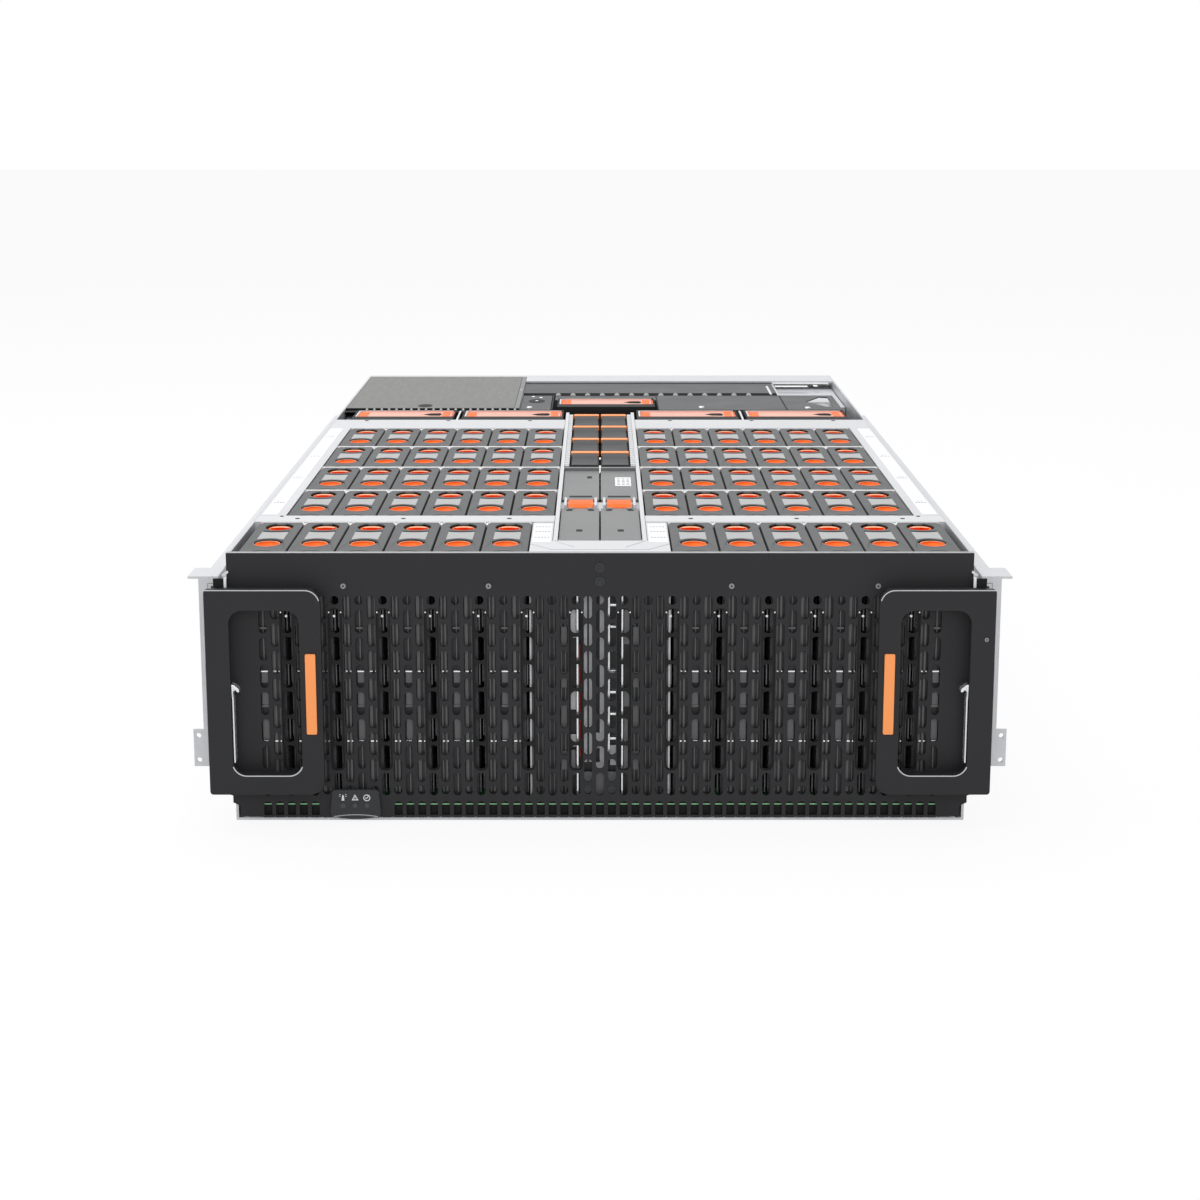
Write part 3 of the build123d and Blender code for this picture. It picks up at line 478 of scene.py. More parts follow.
for side, word in ((-1, "left"), (1, "right")):
    mid = side * EAR_MIDDLE
    outer = rounded((0, 86.15), (70.9, 129.7), 2.0, 4)
    inner_x = -side * 35.45
    outline = []
    for x, y in outer:
        if abs(x - inner_x) < 3 and (y > 140 or y < 30):
            continue
        outline.append((x, y))
    for sy, cy in ((1, 151.0 - 9), (-1, 21.3 + 9)):
        for a in range(0, 91, 15):
            px = inner_x + side * 9 - side * 9 * math.cos(math.radians(a))
            outline.append((px, cy + sy * 9 * math.sin(math.radians(a))))
    centre = (0.0, 86.15)
    outline.sort(key=lambda p: math.atan2(p[1] - centre[1], p[0] - centre[0]))
    hole = rounded((side * (205.15 - 205.85), 85.9), (42.9, 104.4), 8.5, 6)
    ear = Shape()
    ear.put(plate(outline, [hole], 4.9, 0.7), upright(mid, -11.5, 0))
    for zs in ((22.5, 32.5), (139.2, 149.8)):
        xs = (175, 232) if side > 0 else (-232, -175)
        ear.box(xs, (-9.2, 0), zs, 0.6)
    ear.finish(f"ear_frame_{word}", BLACK, "chassis", f"ear_{word}", "black_coat")
    bar = Shape()
    bar.put(plate(rounded((0, 0), (6.3, 50.7), 0.9), [], 1.4, 0.35), upright(side * 177.15, -14.75, 85.75))
    bar.finish(f"release_bar_{word}", PALE_ORANGE, f"trigger_{word}", f"ear_trigger_{word}", "orange_plastic")
    # The bright upright strip along the window's outer wall is a painted highlight of that wall; the curl at
    # its top is the hook.
    hook = Shape()
    hook.box(sorted((side * 225.0, side * 226.1)), (-12.8, -5.2), (41.5, 83.0), 0.3)
    points = [(226.4, 91.2), (224.4, 90.6), (221.8, 88.4), (221.5, 86.6), (222.7, 86.4)]
    points += [(224.1, 88.0), (225.2, 86.5), (225.2, 82.0), (226.2, 82.0)]
    hook.put(plate([(side * x, z) for x, z in points], [], 7.2, 0.2), upright(0, -9.0, 0))
    hook.finish(f"ear_hook_and_wall_highlight_{word}", BRIGHT, f"hook_{word}", f"ear_hook_{word}", "bright_steel")
    # Pale strips along the ear's top edge, its round corner and the window's lower rim: painted highlights.
    lines = Shape()
    lines.box(sorted((side * 179.6, side * 240.6)), (-14.0, -13.5), (150.3, 150.9), 0.1)
    corner = arc_band((side * 179.6, 141.9), 9.0, 0.6, 90, side * 75)
    lines.put(plate(corner, [], 0.5, 0.0), upright(0, -13.75, 0))
    sill = 85.9 - 104.4 / 2
    lines.box((side * 205.15 - 13.2, side * 205.15 + 13.2), (-14.0, -13.5), (sill - 0.75, sill - 0.05), 0.1)
    for end in (-1, 1):
        corner = arc_band((side * 205.15 + end * 12.95, sill + 8.5), 9.25, 0.7, 270, end * 70)
        lines.put(plate(corner, [], 0.5, 0.0), upright(0, -13.75, 0))
    lines.finish(f"ear_edge_highlights_{word}", EDGE_HIGHLIGHT, "chassis")
    # A near-black box in the slot beside the rail bracket: painted shade.
    gap = Shape()
    gap.box(sorted((side * 229.7, side * 236.2)), (-7.0, -6.0), (151.0, 156.6), 0.1)
    gap.finish(f"bracket_slot_shade_{word}", BLACK_AND_SHADE, "chassis")
    gap = Shape()
    gap.box(sorted((side * 228.0, side * 229.6)), (-7.6, -6.6), (151.0, 157.2), 0.1)
    wedge = [(side * x, z) for x, z in ((231.4, 156.2), (227.6, 159.0), (228.1, 160.3), (231.8, 157.8))]
    gap.put(plate(wedge, [], 0.8, 0.1), upright(0, -0.5, 0))
    gap.finish(f"bracket_edges_{word}", BRIGHT_WHITE, "chassis")

# Status module

shape = Shape()
curve = [(-16.4, -5.0), (-15.2, 8.4), (-13.6, 9.4), (13.6, 9.4), (15.2, 8.4), (16.4, -5.0), (15.8, -7.8)]
curve += [(x, -9.4 + 1.6 * (x / 15.8) ** 2) for x in (12, 8, 4, 0, -4, -8, -12)] + [(-15.8, -7.8)]
curve = [(x * 0.955, y) for x, y in curve]
shape.put(plate(curve, [], 2.8, 0.8), upright(-152.7, -1.5, 11.5))
shape.finish("status_body", DARK_PLASTIC, "chassis", "status_module", "dark_plastic")
# A light strip along the status module's curved lower lip: a painted highlight.
lip_highlight = Shape()
for step in range(-12, 12):
    low_x, high_x = step * 1.15, (step + 1) * 1.15
    z = 3.7 + 1.3 * (1 - ((low_x + 0.6) / 14) ** 2)
    lip_highlight.box((-152.7 + low_x, -152.7 + high_x), (-2.97, -2.2), (z - 0.35, z + 0.25))
lip_highlight.finish("status_lip_highlight", BRIDGE, "chassis")
lenses = Shape()
for x in (-160.5, -153.0, -145.6):
    lenses.tube((x, 10.9), 1.65, (-3.35, -2.6), 20)
lenses.finish("status_lens_row", LENS, "chassis", "status_lenses", "lens")
icons = Shape()
triangle = [(0, 2.1), (-2.2, -1.8), (2.2, -1.8)]
small = [(0, 1.05), (-1.25, -1.2), (1.25, -1.2)]
icons.put(plate(triangle, [small], 0.3, 0.05), upright(-153.0, -3.05, 16.2))
icons.box((-153.2, -152.8), (-3.2, -2.9), (15.4, 16.5))
icons.put(washer(4.4, 3.2, 0.3, 0.05), upright(-145.6, -3.05, 16.0))
tick = [(-1.0, 0.1), (-0.3, -0.9), (1.2, 0.9), (0.8, 1.2), (-0.3, -0.1), (-0.7, 0.4)]
icons.put(plate(tick, [], 0.3, 0.05), upright(-145.6, -3.05, 16.0))
beacon = [(-0.9, -2.0), (0.9, -2.0), (0.6, 0.6), (0.4, 1.6), (-0.4, 1.6), (-0.6, 0.6)]
icons.put(plate(beacon, [], 0.3, 0.05), upright(-160.5, -3.05, 16.2))
for sx in (-1, 1):
    for dz in (-0.5, 0.6):
        icons.box(sorted((-160.5 + sx * 1.4, -160.5 + sx * 2.4)), (-3.2, -2.9), (17.4 + dz, 17.7 + dz))
icons.finish("status_icons", ICON, "chassis")

# Drives, carriers and cups


def carrier_places(word):
    """X and Y middles of one group of carriers."""
    if word == "front":
        return [(side * (58.9 + i * PITCH), 56.0) for side in (-1, 1) for i in range(6)]
    return [
        (side * (44.9 + i * PITCH), 131.8 + row * 103.7 + 49.0)
        for row in range(4)
        for side in (-1, 1)
        for i in range(6)
    ]


def well_shape(offset, size, bump):
    points = ellipse((0, offset), size, 28)
    if bump:
        edge = offset + size[1] / 2
        kept = [p for p in points if not (abs(p[0]) < 3.2 and p[1] > offset)]
        notch = [(3.2, edge - 1.2), (2.6, edge - 3.4), (-2.6, edge - 3.4), (-3.2, edge - 1.2)]
        right = sorted((p for p in kept if p[1] >= offset and p[0] > 0), key=lambda p: p[1])
        left = sorted((p for p in kept if p[1] >= offset and p[0] < 0), key=lambda p: -p[1])
        below = sorted((p for p in kept if p[1] < offset), key=lambda p: p[0])
        return right + notch + left + below
    return points


wells = [well_shape(WELL_MIDDLES[0], WELLS[0], False), well_shape(WELL_MIDDLES[1], WELLS[1], True)]
half, depth_half = CARRIER[0] / 2, CARRIER[1] / 2
right_edge = [(half - 0.5, -depth_half), (half, 0.5 - depth_half), (half, 43.3), (12.8, depth_half)]
body_plate = plate(right_edge + [(-x, y) for x, y in right_edge[::-1]], wells, 9.6, 0.35)
bridge_across = (-8.4, -6.4, -4.2, -2, 0, 2, 4.2, 6.4, 8.4)
bridge_points = [(x, -7.3 - 4.2 * (x / 8.4) ** 2) for x in bridge_across]
bridge_points += [(x, 12.6 + 2.0 * (x / 8.4) ** 2) for x in bridge_across[::-1]]
bridge_plate = plate(bridge_points, [], 0.5, 0.12)
shade_points = [(x, 14.6 + 2.0 * (x / 8.4) ** 2) for x in bridge_across]
shade_points += [(x, 17.8 + 1.6 * (x / 8.4) ** 2) for x in bridge_across[::-1]]
shade_plate = plate(shade_points, [], 0.3, 0.0)
lip_plate = plate(arc_band((0, -8.4), 10.8, 0.9, 50, 80, 10), [], 0.7, 0.15)
lip_tab = plate(rounded((0, 0), (3.4, 1.9), 0.5, 3), [], 1.6, 0.2)
# Near-black rings inside the wells and plates at their floors: painted shade that darkens the wells' far
# walls and floors.
wall_shades = [
    plate(scaled(w, (0, m), 0.999), [scaled(w, (0, m), 0.972)], 8.4, 0.0) for w, m in zip(wells, WELL_MIDDLES)
]
floor_shades = [plate(scaled(w, (0, m), 0.99), [], 0.4, 0.0) for w, m in zip(wells, WELL_MIDDLES)]
# A thin grey line along the near rim of each front well: a painted highlight.
near_rim, rim_middle = wells[0][14:], (0, WELL_MIDDLES[0])
rim_highlight_points = scaled(near_rim, rim_middle, 1.035) + scaled(near_rim, rim_middle, 0.995)[::-1]
rim_highlight = plate(rim_highlight_points, [], 0.25, 0.0)
bowl = [(0, -3.2), (0.4, -3.0), (0.7, -2.2), (0.9, -0.8), (0.97, -0.05)]
bowl += [(1, -0.1), (1, -1.2), (0.85, -2.6), (0.6, -4.0), (0, -4.4)]
cup_dishes = {"fore": dish((16.0, 20.6), bowl), "aft": dish((14.6, 15.4), bowl)}
CUP_SPOTS = {"fore": (-23.7, 170.6), "aft": (34.3, 169.8)}


def cup_highlight(outer, inner, start, sweep):
    """A painted highlight along the far edge of a finger cup."""
    points = ellipse((0, 0), outer, 14, start, sweep) + ellipse((0, 0), inner, 14, start, sweep)[::-1]
    return plate(points, [], 0.2, 0.0)


cup_highlights = {
    "fore": cup_highlight((15.8, 20.4), (14.6, 18.4), 20, 140),
    "aft": cup_highlight((13.4, 14.2), (9.6, 5.6), 25, 130),
}

for word in ("front", "rows"):
    spots = carrier_places(word)
    group = "front_drives" if word == "front" else "row_drives"
    tabs = "front_drive_tabs" if word == "front" else "row_drive_tabs"
    tops, bridges, lips, sleeves = Shape(), Shape(), Shape(), Shape()
    well_shades, flanges, rims = Shape(), Shape(), Shape()
    for x, y in spots:
        tops.put(body_plate, level(x, y, TOP - 4.9))
        bridges.put(bridge_plate, level(x, y, TOP - 0.05))
        well_shades.put(shade_plate, level(x, y, TOP - 0.1))
        lips.put(lip_plate, level(x, y - 49.4, TOP - 0.25))
        rims.put(lip_tab, level(x, y - 49.6, TOP - 1.0))
        rims.put(rim_highlight, level(x, y, TOP - 0.05))
        for wall_shade, floor_shade in zip(wall_shades, floor_shades):
            well_shades.put(wall_shade, level(x, y, 165.9))
            well_shades.put(floor_shade, level(x, y, 161.3))
        sleeves.box((x - 13.05, x + 13.05), (y - DRIVE_HALF, y + DRIVE_HALF), (14.0, DRIVE_TOP - 0.05), 0.6)
        sleeves.box((x - 9, x + 9), (y + 22.7 - 20, y + 22.7 - 18), (DRIVE_TOP, DRIVE_TOP + 0.1))
        for end in (-1, 1):
            ys = sorted((y + end * DRIVE_HALF, y + end * 49.1))
            flanges.box((x - 13.9, x + 13.9), ys, (DRIVE_TOP - 0.5, 170.7), 0.25)
            flanges.box(sorted((x + end * 12.0, x + end * 14.1)), (y + 43.4, y + 49.2), (168.0, 170.3), 0.1)
    tops.finish(f"carrier_tops_{word}", PLASTIC, group, f"carriers_{word}", "dark_plastic")
    bridges.finish(f"carrier_bridges_{word}", BRIDGE, group)
    lips.finish(f"carrier_lips_{word}", DARK_PLASTIC, group)
    rims.finish(f"carrier_tabs_and_rim_highlights_{word}", LIP_HIGHLIGHT, group)
    well_shades.finish(f"carrier_well_shades_{word}", BLACK_AND_SHADE, group)
    flanges.finish(f"drive_end_flanges_{word}", BRIGHT_WHITE, group)
    sleeves.finish(f"drive_sleeves_{word}", DRIVE, group, f"drives_{word}", "drive_case")
    for end, (offset, height) in CUP_SPOTS.items():
        cups, far_highlights = Shape(), Shape()
        for x, y in spots:
            cups.put(cup_dishes[end], level(x, y + offset, height))
            far_highlights.put(cup_highlights[end], level(x, y + offset, height - 0.1))
        body, node = f"{tabs}_{end}", f"tabs_{end}_{word}"
        cups.finish(f"finger_cups_{end}_{word}", ORANGE, body, node, "orange_plastic")
        far_highlights.finish(f"finger_cup_highlights_{end}_{word}", CUP_HIGHLIGHT, f"{tabs}_{end}")
# A near-black fin in each gap between carriers is painted shade; the white ends are the strips' own colour.
whites, gap_shades = Shape(), Shape()
for x, y in carrier_places("rows") + carrier_places("front"):
    if abs(x) < 190:
        edge = x + math.copysign(PITCH / 2, x)
        whites.box((edge - 0.6, edge + 0.6), (y + 43.6, y + 50.6), (166.0, 170.3), 0.05)
        gap_shades.box((edge - 0.6, edge + 0.6), (y - 49.0, y + 43.4), (120.0, 168.6))
whites.finish("gap_ends", BRIGHT_WHITE, "chassis")
gap_shades.finish("gap_shade_fins", GAP_SHADE, "chassis")

# What shows behind the grille
# The glints are short bright bars across the drive faces and small bright dots behind the band slots: painted
# highlights.
faces, ridges, ledges, marks, lights = Shape(), Shape(), Shape(), Shape(), Shape()
for x, _ in carrier_places("front"):
    faces.box((x - 12.9, x + 12.9), (4.7, 5.15), (16, 160), 0.1)
    for dx, wide in ((-9.2, 1.1), (-6.8, 1.5), (6.0, 2.2), (9.2, 0.8)):
        ridges.box((x + dx - wide / 2, x + dx + wide / 2), (3.6, 4.7), (18, 146), 0.2)
    ridges.box((x - 0.5, x + 0.5), (3.4, 4.7), (100, 146), 0.2)
    ridges.box((x - 0.5, x + 0.5), (3.4, 4.7), (18, 50), 0.2)
    for z, low in ((95.6, 88.5), (83.8, 74.4), (66.8, 51.8)):
        marks.box((x - 2.0, x + 2.2), (3.0, 4.7), (low, z - 0.8), 0.2)
    for z in (123.6, 73.9):
        marks.box((x - 2.3, x + 2.4), (2.6, 4.7), (z - 0.9, z + 0.5), 0.15)
    for dx, wide in ((-8.6, 1.3), (-6.0, 1.0), (0.1, 4.2), (6.4, 2.0), (9.2, 0.8)):
        for z in (95.9, 51.2):
            lights.box((x + dx - wide / 2, x + dx + wide / 2), (2.4, 4.7), (z - 0.45, z + 0.45), 0.1)
for k in range(-26, 27, 4):
    if abs(k) == 2:
        continue
    x = k * COLUMN
    for z in (128.0, 93.4, 58.6, 24.0):
        ledges.box((x - 0.9, x - 0.1), (6.0, 9.0), (z - 7, z + 7), 0.1)
        ledges.box((x + 1.2, x + 1.8), (7.0, 9.0), (z - 5, z + 7), 0.1)
        for dz in (-3, 1, 5):
            ledges.box((x + 2.0, x + 2.6), (6.0, 7.0), (z + dz - 0.6, z + dz + 0.6), 0.1)
    lights.tube((x - 0.9, 130.6), 0.8, (4.6, 6.2), 10)
faces.finish("drive_faces", DRIVE_FACE, "front_drives")
ridges.finish("drive_ridges", RIDGE, "front_drives")
ledges.finish("gap_strips", RIDGE, "front_drives")
marks.finish("drive_marks", RIDGE, "front_drives")
lights.finish("drive_face_glints", BRIGHT, "front_drives")

# Centre of the grille
posts, pale, mid, dark = Shape(), Shape(), Shape(), Shape()
posts.box((-14.6, -13.3), (5.0, 41.0), (12, 164), 0.2)
posts.box((13.2, 14.4), (5.0, 41.0), (12, 164), 0.2)
posts.box((4.9, 6.2), (5.0, 14.0), (42, 150), 0.2)
for z in (137.4, 123.8, 109.0, 95.4, 81.9, 67.9, 52.1):
    posts.box((6.2, 10.4), (5.0, 14.0), (z - 0.7, z + 0.7), 0.2)
posts.finish("centre_posts", BRIGHT, "chassis")
pale.box((-11.2, -7.9), (8.0, 9.0), (36, 150), 0.2)
pale.box((-6.9, -4.2), (8.0, 9.0), (36, 150), 0.2)
pale.box((-0.2, 3.2), (8.0, 9.0), (36, 150), 0.2)
pale.box((-3.0, -0.2), (8.0, 9.0), (45, 55), 0.2)
pale.box((-18.3, -14.8), (8.0, 9.0), (116, 134), 0.2)
pale.box((-18.3, -14.8), (8.0, 9.0), (70, 84), 0.2)
pale.box((-18.3, -14.8), (8.0, 9.0), (46, 54), 0.2)
pale.box((-3.0, 4.0), (7.4, 8.4), (28, 36), 0.2)
pale.box((6.3, 10.4), (8.0, 9.0), (34, 47), 0.2)
pale.finish("centre_sheet", PALE_SHEET, "chassis")
mid.box((-12.6, 12.6), (7.0, 7.9), (14, 30), 0.2)
mid.box((14.8, 18.5), (8.0, 9.0), (112, 134), 0.2)
mid.box((14.8, 18.5), (8.0, 9.0), (72, 84), 0.2)
mid.box((14.8, 17.5), (8.0, 9.0), (30, 66), 0.2)
mid.box((-18.0, -15.2), (8.0, 9.0), (28, 44), 0.2)
mid.finish("centre_patches", MID_SHEET, "chassis")
dark.box((-43.5, 43.5), (10.2, 11.2), (12, 164), 0.2)
for side in (-1, 1):
    dark.box(sorted((side * 19.4, side * 43.0)), (6.4, 7.4), (14, 162), 0.2)
dark.finish("centre_back", DRIVE_FACE, "chassis")
ribs = Shape()
for side in (-1, 1):
    for x in (21.4, 24.0, 28.4, 31.2, 35.6, 38.4, 41.6):
        ribs.box((side * x - 0.5, side * x + 0.5), (5.2, 6.4), (16, 148), 0.2)
    for z, high in ((118, 6), (90, 5), (66, 8), (38, 6)):
        ribs.box((side * 22.3 - 2.0, side * 22.3 + 2.0), (4.6, 6.0), (z - high, z + high), 0.3)
ribs.finish("centre_ribs", RIDGE, "chassis")
red = Shape()
red.tube((-12.4, 80.0), 0.5, (7.0, 8.0), 8)
red.box((-12.9, -12.3), (6.0, 6.6), (40, 112), 0.1)
red.finish("cable_sliver", RED, "chassis")
edge = Shape()
edge.box((-214, 214), (2.5, 3.0), (9.9, 10.7), 0.1)
edge.finish("board_edge_line", GREEN_LINE, "chassis")
# A near-black strip behind the grille's bottom arches, in front of the board's edge: painted shade inside the
# arches.
edge = Shape()
edge.box((-214, 214), (3.0, 3.9), (1.9, 15.0), 0.1)
edge.finish("arch_shade_back", BLACK_AND_SHADE, "chassis")

# Deck

paint("front_divider", WHITE)
paint("row_partitions", BRIGHT_WHITE, 0.2)
paint("deck_rails", GALVANISED)
paint("fan_crossbar", GALVANISED)
paint("base_pan", GALVANISED)
paint("side_wall_left", WALL_STEEL, 0.2)
paint("side_wall_right", WALL_STEEL, 0.2)
paint("rear_frame", GALVANISED)
paint("rear_partitions", GALVANISED, 0.2)
paint("main_board", BOARD, 0.1)
paint("board_standoffs", BRIGHT, 0.2)
paint("drive_connectors", CHIP, 0.2)
paint("bay_walls", WHITE)
paint("rear_board", BOARD, 0.1)
paint("controllers", GALVANISED, 0.6)
paint("power_supplies", GALVANISED, 0.6)
paint("rail_inner", GALVANISED, 0.2)
paint("rail_middle", GALVANISED, 0.4)
paint("rail_outer", GALVANISED, 0.4)
paint("vent_sheet", BAFFLE, 0.2)
paint("latch_bridge", WHITE, 0.4)

labels, prints = Shape(), Shape()
for side in (-1, 1):
    xs = sorted((side * 215.2, side * 225.4))
    labels.box(xs, (134, 540), LABEL_LEVEL)
    for y in (180, 284, 388, 491):
        for dx in (-3, -1, 1, 3):
            xs = (side * LABEL_MIDDLE + dx - 0.6, side * LABEL_MIDDLE + dx + 0.6)
            prints.box(xs, (y - 1.0, y + 1.0), PRINT_LEVEL)
        prints.box((side * LABEL_MIDDLE - 1.5, side * LABEL_MIDDLE - 0.7), (y + 5, y + 6.5), PRINT_LEVEL)
        prints.box((side * LABEL_MIDDLE + 0.7, side * LABEL_MIDDLE + 1.5), (y + 5, y + 6.5), PRINT_LEVEL)
    xs = sorted((side * 31.0, side * 42.6))
    labels.box(xs, (36, 100), LABEL_LEVEL)
    for y in (52, 72, 88):
        for dx in range(-4, 5, 2):
            prints.box((side * 36.8 + dx - 0.6, side * 36.8 + dx + 0.7), (y - 0.8, y + 0.8), PRINT_LEVEL)
labels.finish("deck_labels", LABEL, "chassis")
prints.finish("deck_label_marks", PRINT, "chassis")

# Flat near-black discs on the deck stand for holes: painted shade.
holes = Shape()
for side in (-1, 1):
    holes.tube((side * 211.5, 127.0), 1.4, (171.0, 171.2), 12, "Z")
    for x in (60, 130, 200):
        holes.tube((side * x, 118.5), 1.6, (171.0, 171.2), 12, "Z")
        holes.tube((side * x, 588.0), 1.8, (171.0, 171.2), 12, "Z")
holes.finish("deck_hole_shades", BLACK_AND_SHADE, "chassis")

# Folded apron round the front modules

shape = Shape()
outline = [(-43.6, 5.4), (43.6, 5.4), (43.6, 104.8), (30.0, 104.8)]
outline += [(30.0, 42.0), (-30.0, 42.0), (-30.0, 104.8), (-43.6, 104.8)]
shape.put(plate(outline, [], 2.4, 0.3), level(0, 0, 169.75))
for x in (-43.0, 43.0):
    shape.box((x - 0.6, x + 0.6), (5.3, 104.7), (12, 168.5))
shape.finish("apron_sheet", WHITE, "chassis", "bay_apron", "white_steel")
folds = Shape()
fold_lines = [((-43, 30), (-30, 12)), ((-30, 12), (30, 12)), ((30, 12), (43, 30))]
fold_lines += [((-28, 40), (-16, 20)), ((28, 40), (16, 20))]
for a, b in fold_lines:
    length = math.dist(a, b)
    turn = Matrix.Rotation(math.atan2(b[1] - a[1], b[0] - a[0]), 3, "Z")
    mx, my = (a[0] + b[0]) / 2, (a[1] + b[1]) / 2
    folds.box((mx - length / 2, mx + length / 2), (my - 0.35, my + 0.35), (170.9, 171.25), 0, turn)
folds.finish("apron_folds", GALVANISED, "chassis")

# Centre bay modules

for side, word in ((-1, "left"), (1, "right")):
    front, rear, dark = Shape(), Shape(), Shape()
    xs = sorted((side * 0.5, side * 26.4))
    mid = sum(xs) / 2
    front.box(xs, (42.3, 170.0), (10.1, 168.8), 0.5)
    front.box(xs, (42.3, 46.0), (168.0, 171.0), 0.3)
    front.box((mid - 8.5, mid - 4.5), (166, 170.0), (168.0, 169.4), 0.2)
    front.box((mid + 4.5, mid + 8.5), (166, 170.0), (168.0, 169.4), 0.2)
    rear.box(xs, (206.0, 336.0), (10.1, 168.8), 0.5)
    rear.box(xs, (331.5, 336.0), (168.0, 171.0), 0.3)
    front_node, rear_node = ("front_modules", "rear_modules") if side < 0 else (None, None)
    front.finish(f"front_module_{word}", MODULE, "front_modules", front_node, "module_steel")
    rear.finish(f"rear_module_{word}", MODULE, "rear_modules", rear_node, "module_steel")
    dark.box((mid - 2.0, mid + 2.0), (84, 91), (168.8, 168.9))
    dark.box((mid - 9.5, mid - 5.5), (160, 165), (168.8, 168.9))
    dark.box((mid + 5.5, mid + 9.5), (160, 165), (168.8, 168.9))
    dark.finish(f"front_module_marks_{word}", BLACK_AND_SHADE, "front_modules")
    dark = Shape()
    dark.box((mid - 8.0, mid + 8.0), (214, 220), (168.8, 168.95))
    if side < 0:
        dark.box((mid + 4.0, mid + 7.5), (296, 305), (168.8, 168.95))
    dark.finish(f"rear_module_marks_{word}", BLACK_AND_SHADE, "rear_modules")
label = Shape()
label.box((11, 22.5), (262, 300), (168.8, 168.95))
label.finish("rear_module_label", LABEL, "rear_modules")
label = Shape()
for row in range(5):
    for column in range(3):
        xs = (12.4 + column * 3.4, 14.6 + column * 3.4)
        label.box(xs, (267 + row * 6.2, 269 + row * 6.2), (168.95, 169.0))
label.finish("rear_module_label_marks", PRINT, "rear_modules")

latches, mounts = Shape(), Shape()
for side in (-1, 1):
    mid = side * 13.3
    profile = [(173, 167.3), (173, 168.8), (177, 170.2), (196, 170.2), (200, 169.6), (200, 167.3)]
    latches.prism(profile, (mid - 8.5, mid + 8.5), 0.4)
    latches.box((mid - 6.0, mid + 6.0), (178, 180), (170.0, 170.3))
    latches.box((mid - 6.0, mid + 6.0), (183, 185), (170.0, 170.3))
    for dx in (-11.4, 9.4):
        mounts.box((mid + dx, mid + dx + 2.0), (173, 203), (160, 170.8), 0.6)
latches.finish("module_latch_shapes", ORANGE, "module_latches", "module_latches", "orange_plastic")
mounts.finish("latch_cheeks", WHITE, "chassis")

# Solid-state caddies

bodies, bars = Shape(), Shape()
for index in range(4):
    start = 346.4 + 71.2 * index
    levers = Shape()
    for side in (-1, 1):
        xs = sorted((side * 0.8, side * 22.6))
        bodies.box(xs, (start, start + 69.8), (12, 167.5), 0.4)
        bars.box(xs, (start + 61.2, start + 69.6), (167.3, 171.0), 0.6)
        ys = [start + 3, start + 8, start + 18, start + 30, start + 42, start + 52, start + 61]
        tops_z = [170.4, 170.4, 169.0, 168.6, 168.9, 170.0, 170.5]
        profile = [(start + 3, 167.95)] + list(zip(ys, tops_z)) + [(start + 61, 167.95)]
        levers.prism(profile, sorted((side * 1.8, side * 21.6)), 0.25)
    node = f"ssd_levers_{index + 1}"
    levers.finish(f"caddy_levers_{index + 1}", DARK_PLASTIC, node, node, "dark_plastic")
bodies.finish("caddy_bodies", BLACK_AND_SHADE, "ssd_caddies", "ssd_carriers", "dark_plastic")
bars.finish("caddy_bars", PALE_ORANGE, "ssd_caddies")
strips = Shape()
for side in (-1, 1):
    xs = sorted((side * 23.3, side * 26.8))
    strips.box(xs, (346.5, 631), (158, 170.4), 0.2)
    for step in range(24):
        y = 350 + step * 11.7
        strips.box(xs, (y, y + 2.4), (170.2, 170.95), 0.2)
strips.finish("ribbed_strips", GALVANISED, "chassis", "side_strips", "galvanised")

# Fans


def fan_top(x, start, body, name, node):
    """Black frame, streaked gloss grip with orange ends, white corner, and a near-black plate in the tapered
    finger hole as painted shade.
    """
    tear = [(-8.5, 0), (-2, -7.5), (6.5, -8.5), (8.5, 0), (6.5, 8.5), (-2, 7.5)]
    tear = [(x + 24 + dx, start + 38 + dy) for dx, dy in tear]
    middle = start + GRIP_OFFSET
    recess = rounded((x + 0.2, middle), (86, 40.6), 3.0, 4)
    rim = Shape()
    rim.put(plate(rounded((x, start + 30), (87.8, 59.8), 1.0, 3), [recess], 10.6, 0.3), level(0, 0, 165.6))
    rim.finish(f"{name}_rim", BLACK_AND_SHADE, body, node, "grip_plastic")
    grip = Shape()
    inner = rounded((x + 1.2, middle), (80.4, 37.0), 3.5, 4)
    grip.put(plate(inner, [tear], 2.2, 0.5), level(0, 0, 168.9))
    grip.finish(f"{name}_grip", SALMON, body)
    ends = Shape()
    inside = rounded((x + 1.2, middle), (81.0, 36.4), 3.6, 4)
    ends.put(plate(rounded((x + 1.2, middle), (83.0, 39.0), 4.2, 4), [inside], 1.6, 0.2), level(0, 0, 169.2))
    ends.put(plate(rounded((x - 35.6, middle - 4), (7.4, 30), 1.6, 3), [], 0.6, 0.15), level(0, 0, 170.0))
    ends.put(plate(rounded((x + 36.2, middle), (6.6, 36), 1.6, 3), [], 0.6, 0.15), level(0, 0, 170.0))
    ends.finish(f"{name}_ends", ORANGE, body)
    corner = Shape()
    corner.box((x - 42.4, x - 40.6), (start + 19, start + 58), (166, 170.6), 0.5)
    corner.box((x - 41.4, x + 42.0), (start + 58.2, start + 59.2), (168, 170.6), 0.3)
    corner.finish(f"{name}_corner", WHITE, body)
    # A flat near-black plate in the finger hole: painted shade.
    hole_shade = Shape()
    hole_shade.put(plate(scaled(tear, (x + 24, start + 38), 0.97), [], 0.2, 0.0), level(0, 0, 169.8))
    hole_shade.finish(f"{name}_hollow", GAP_SHADE, body)


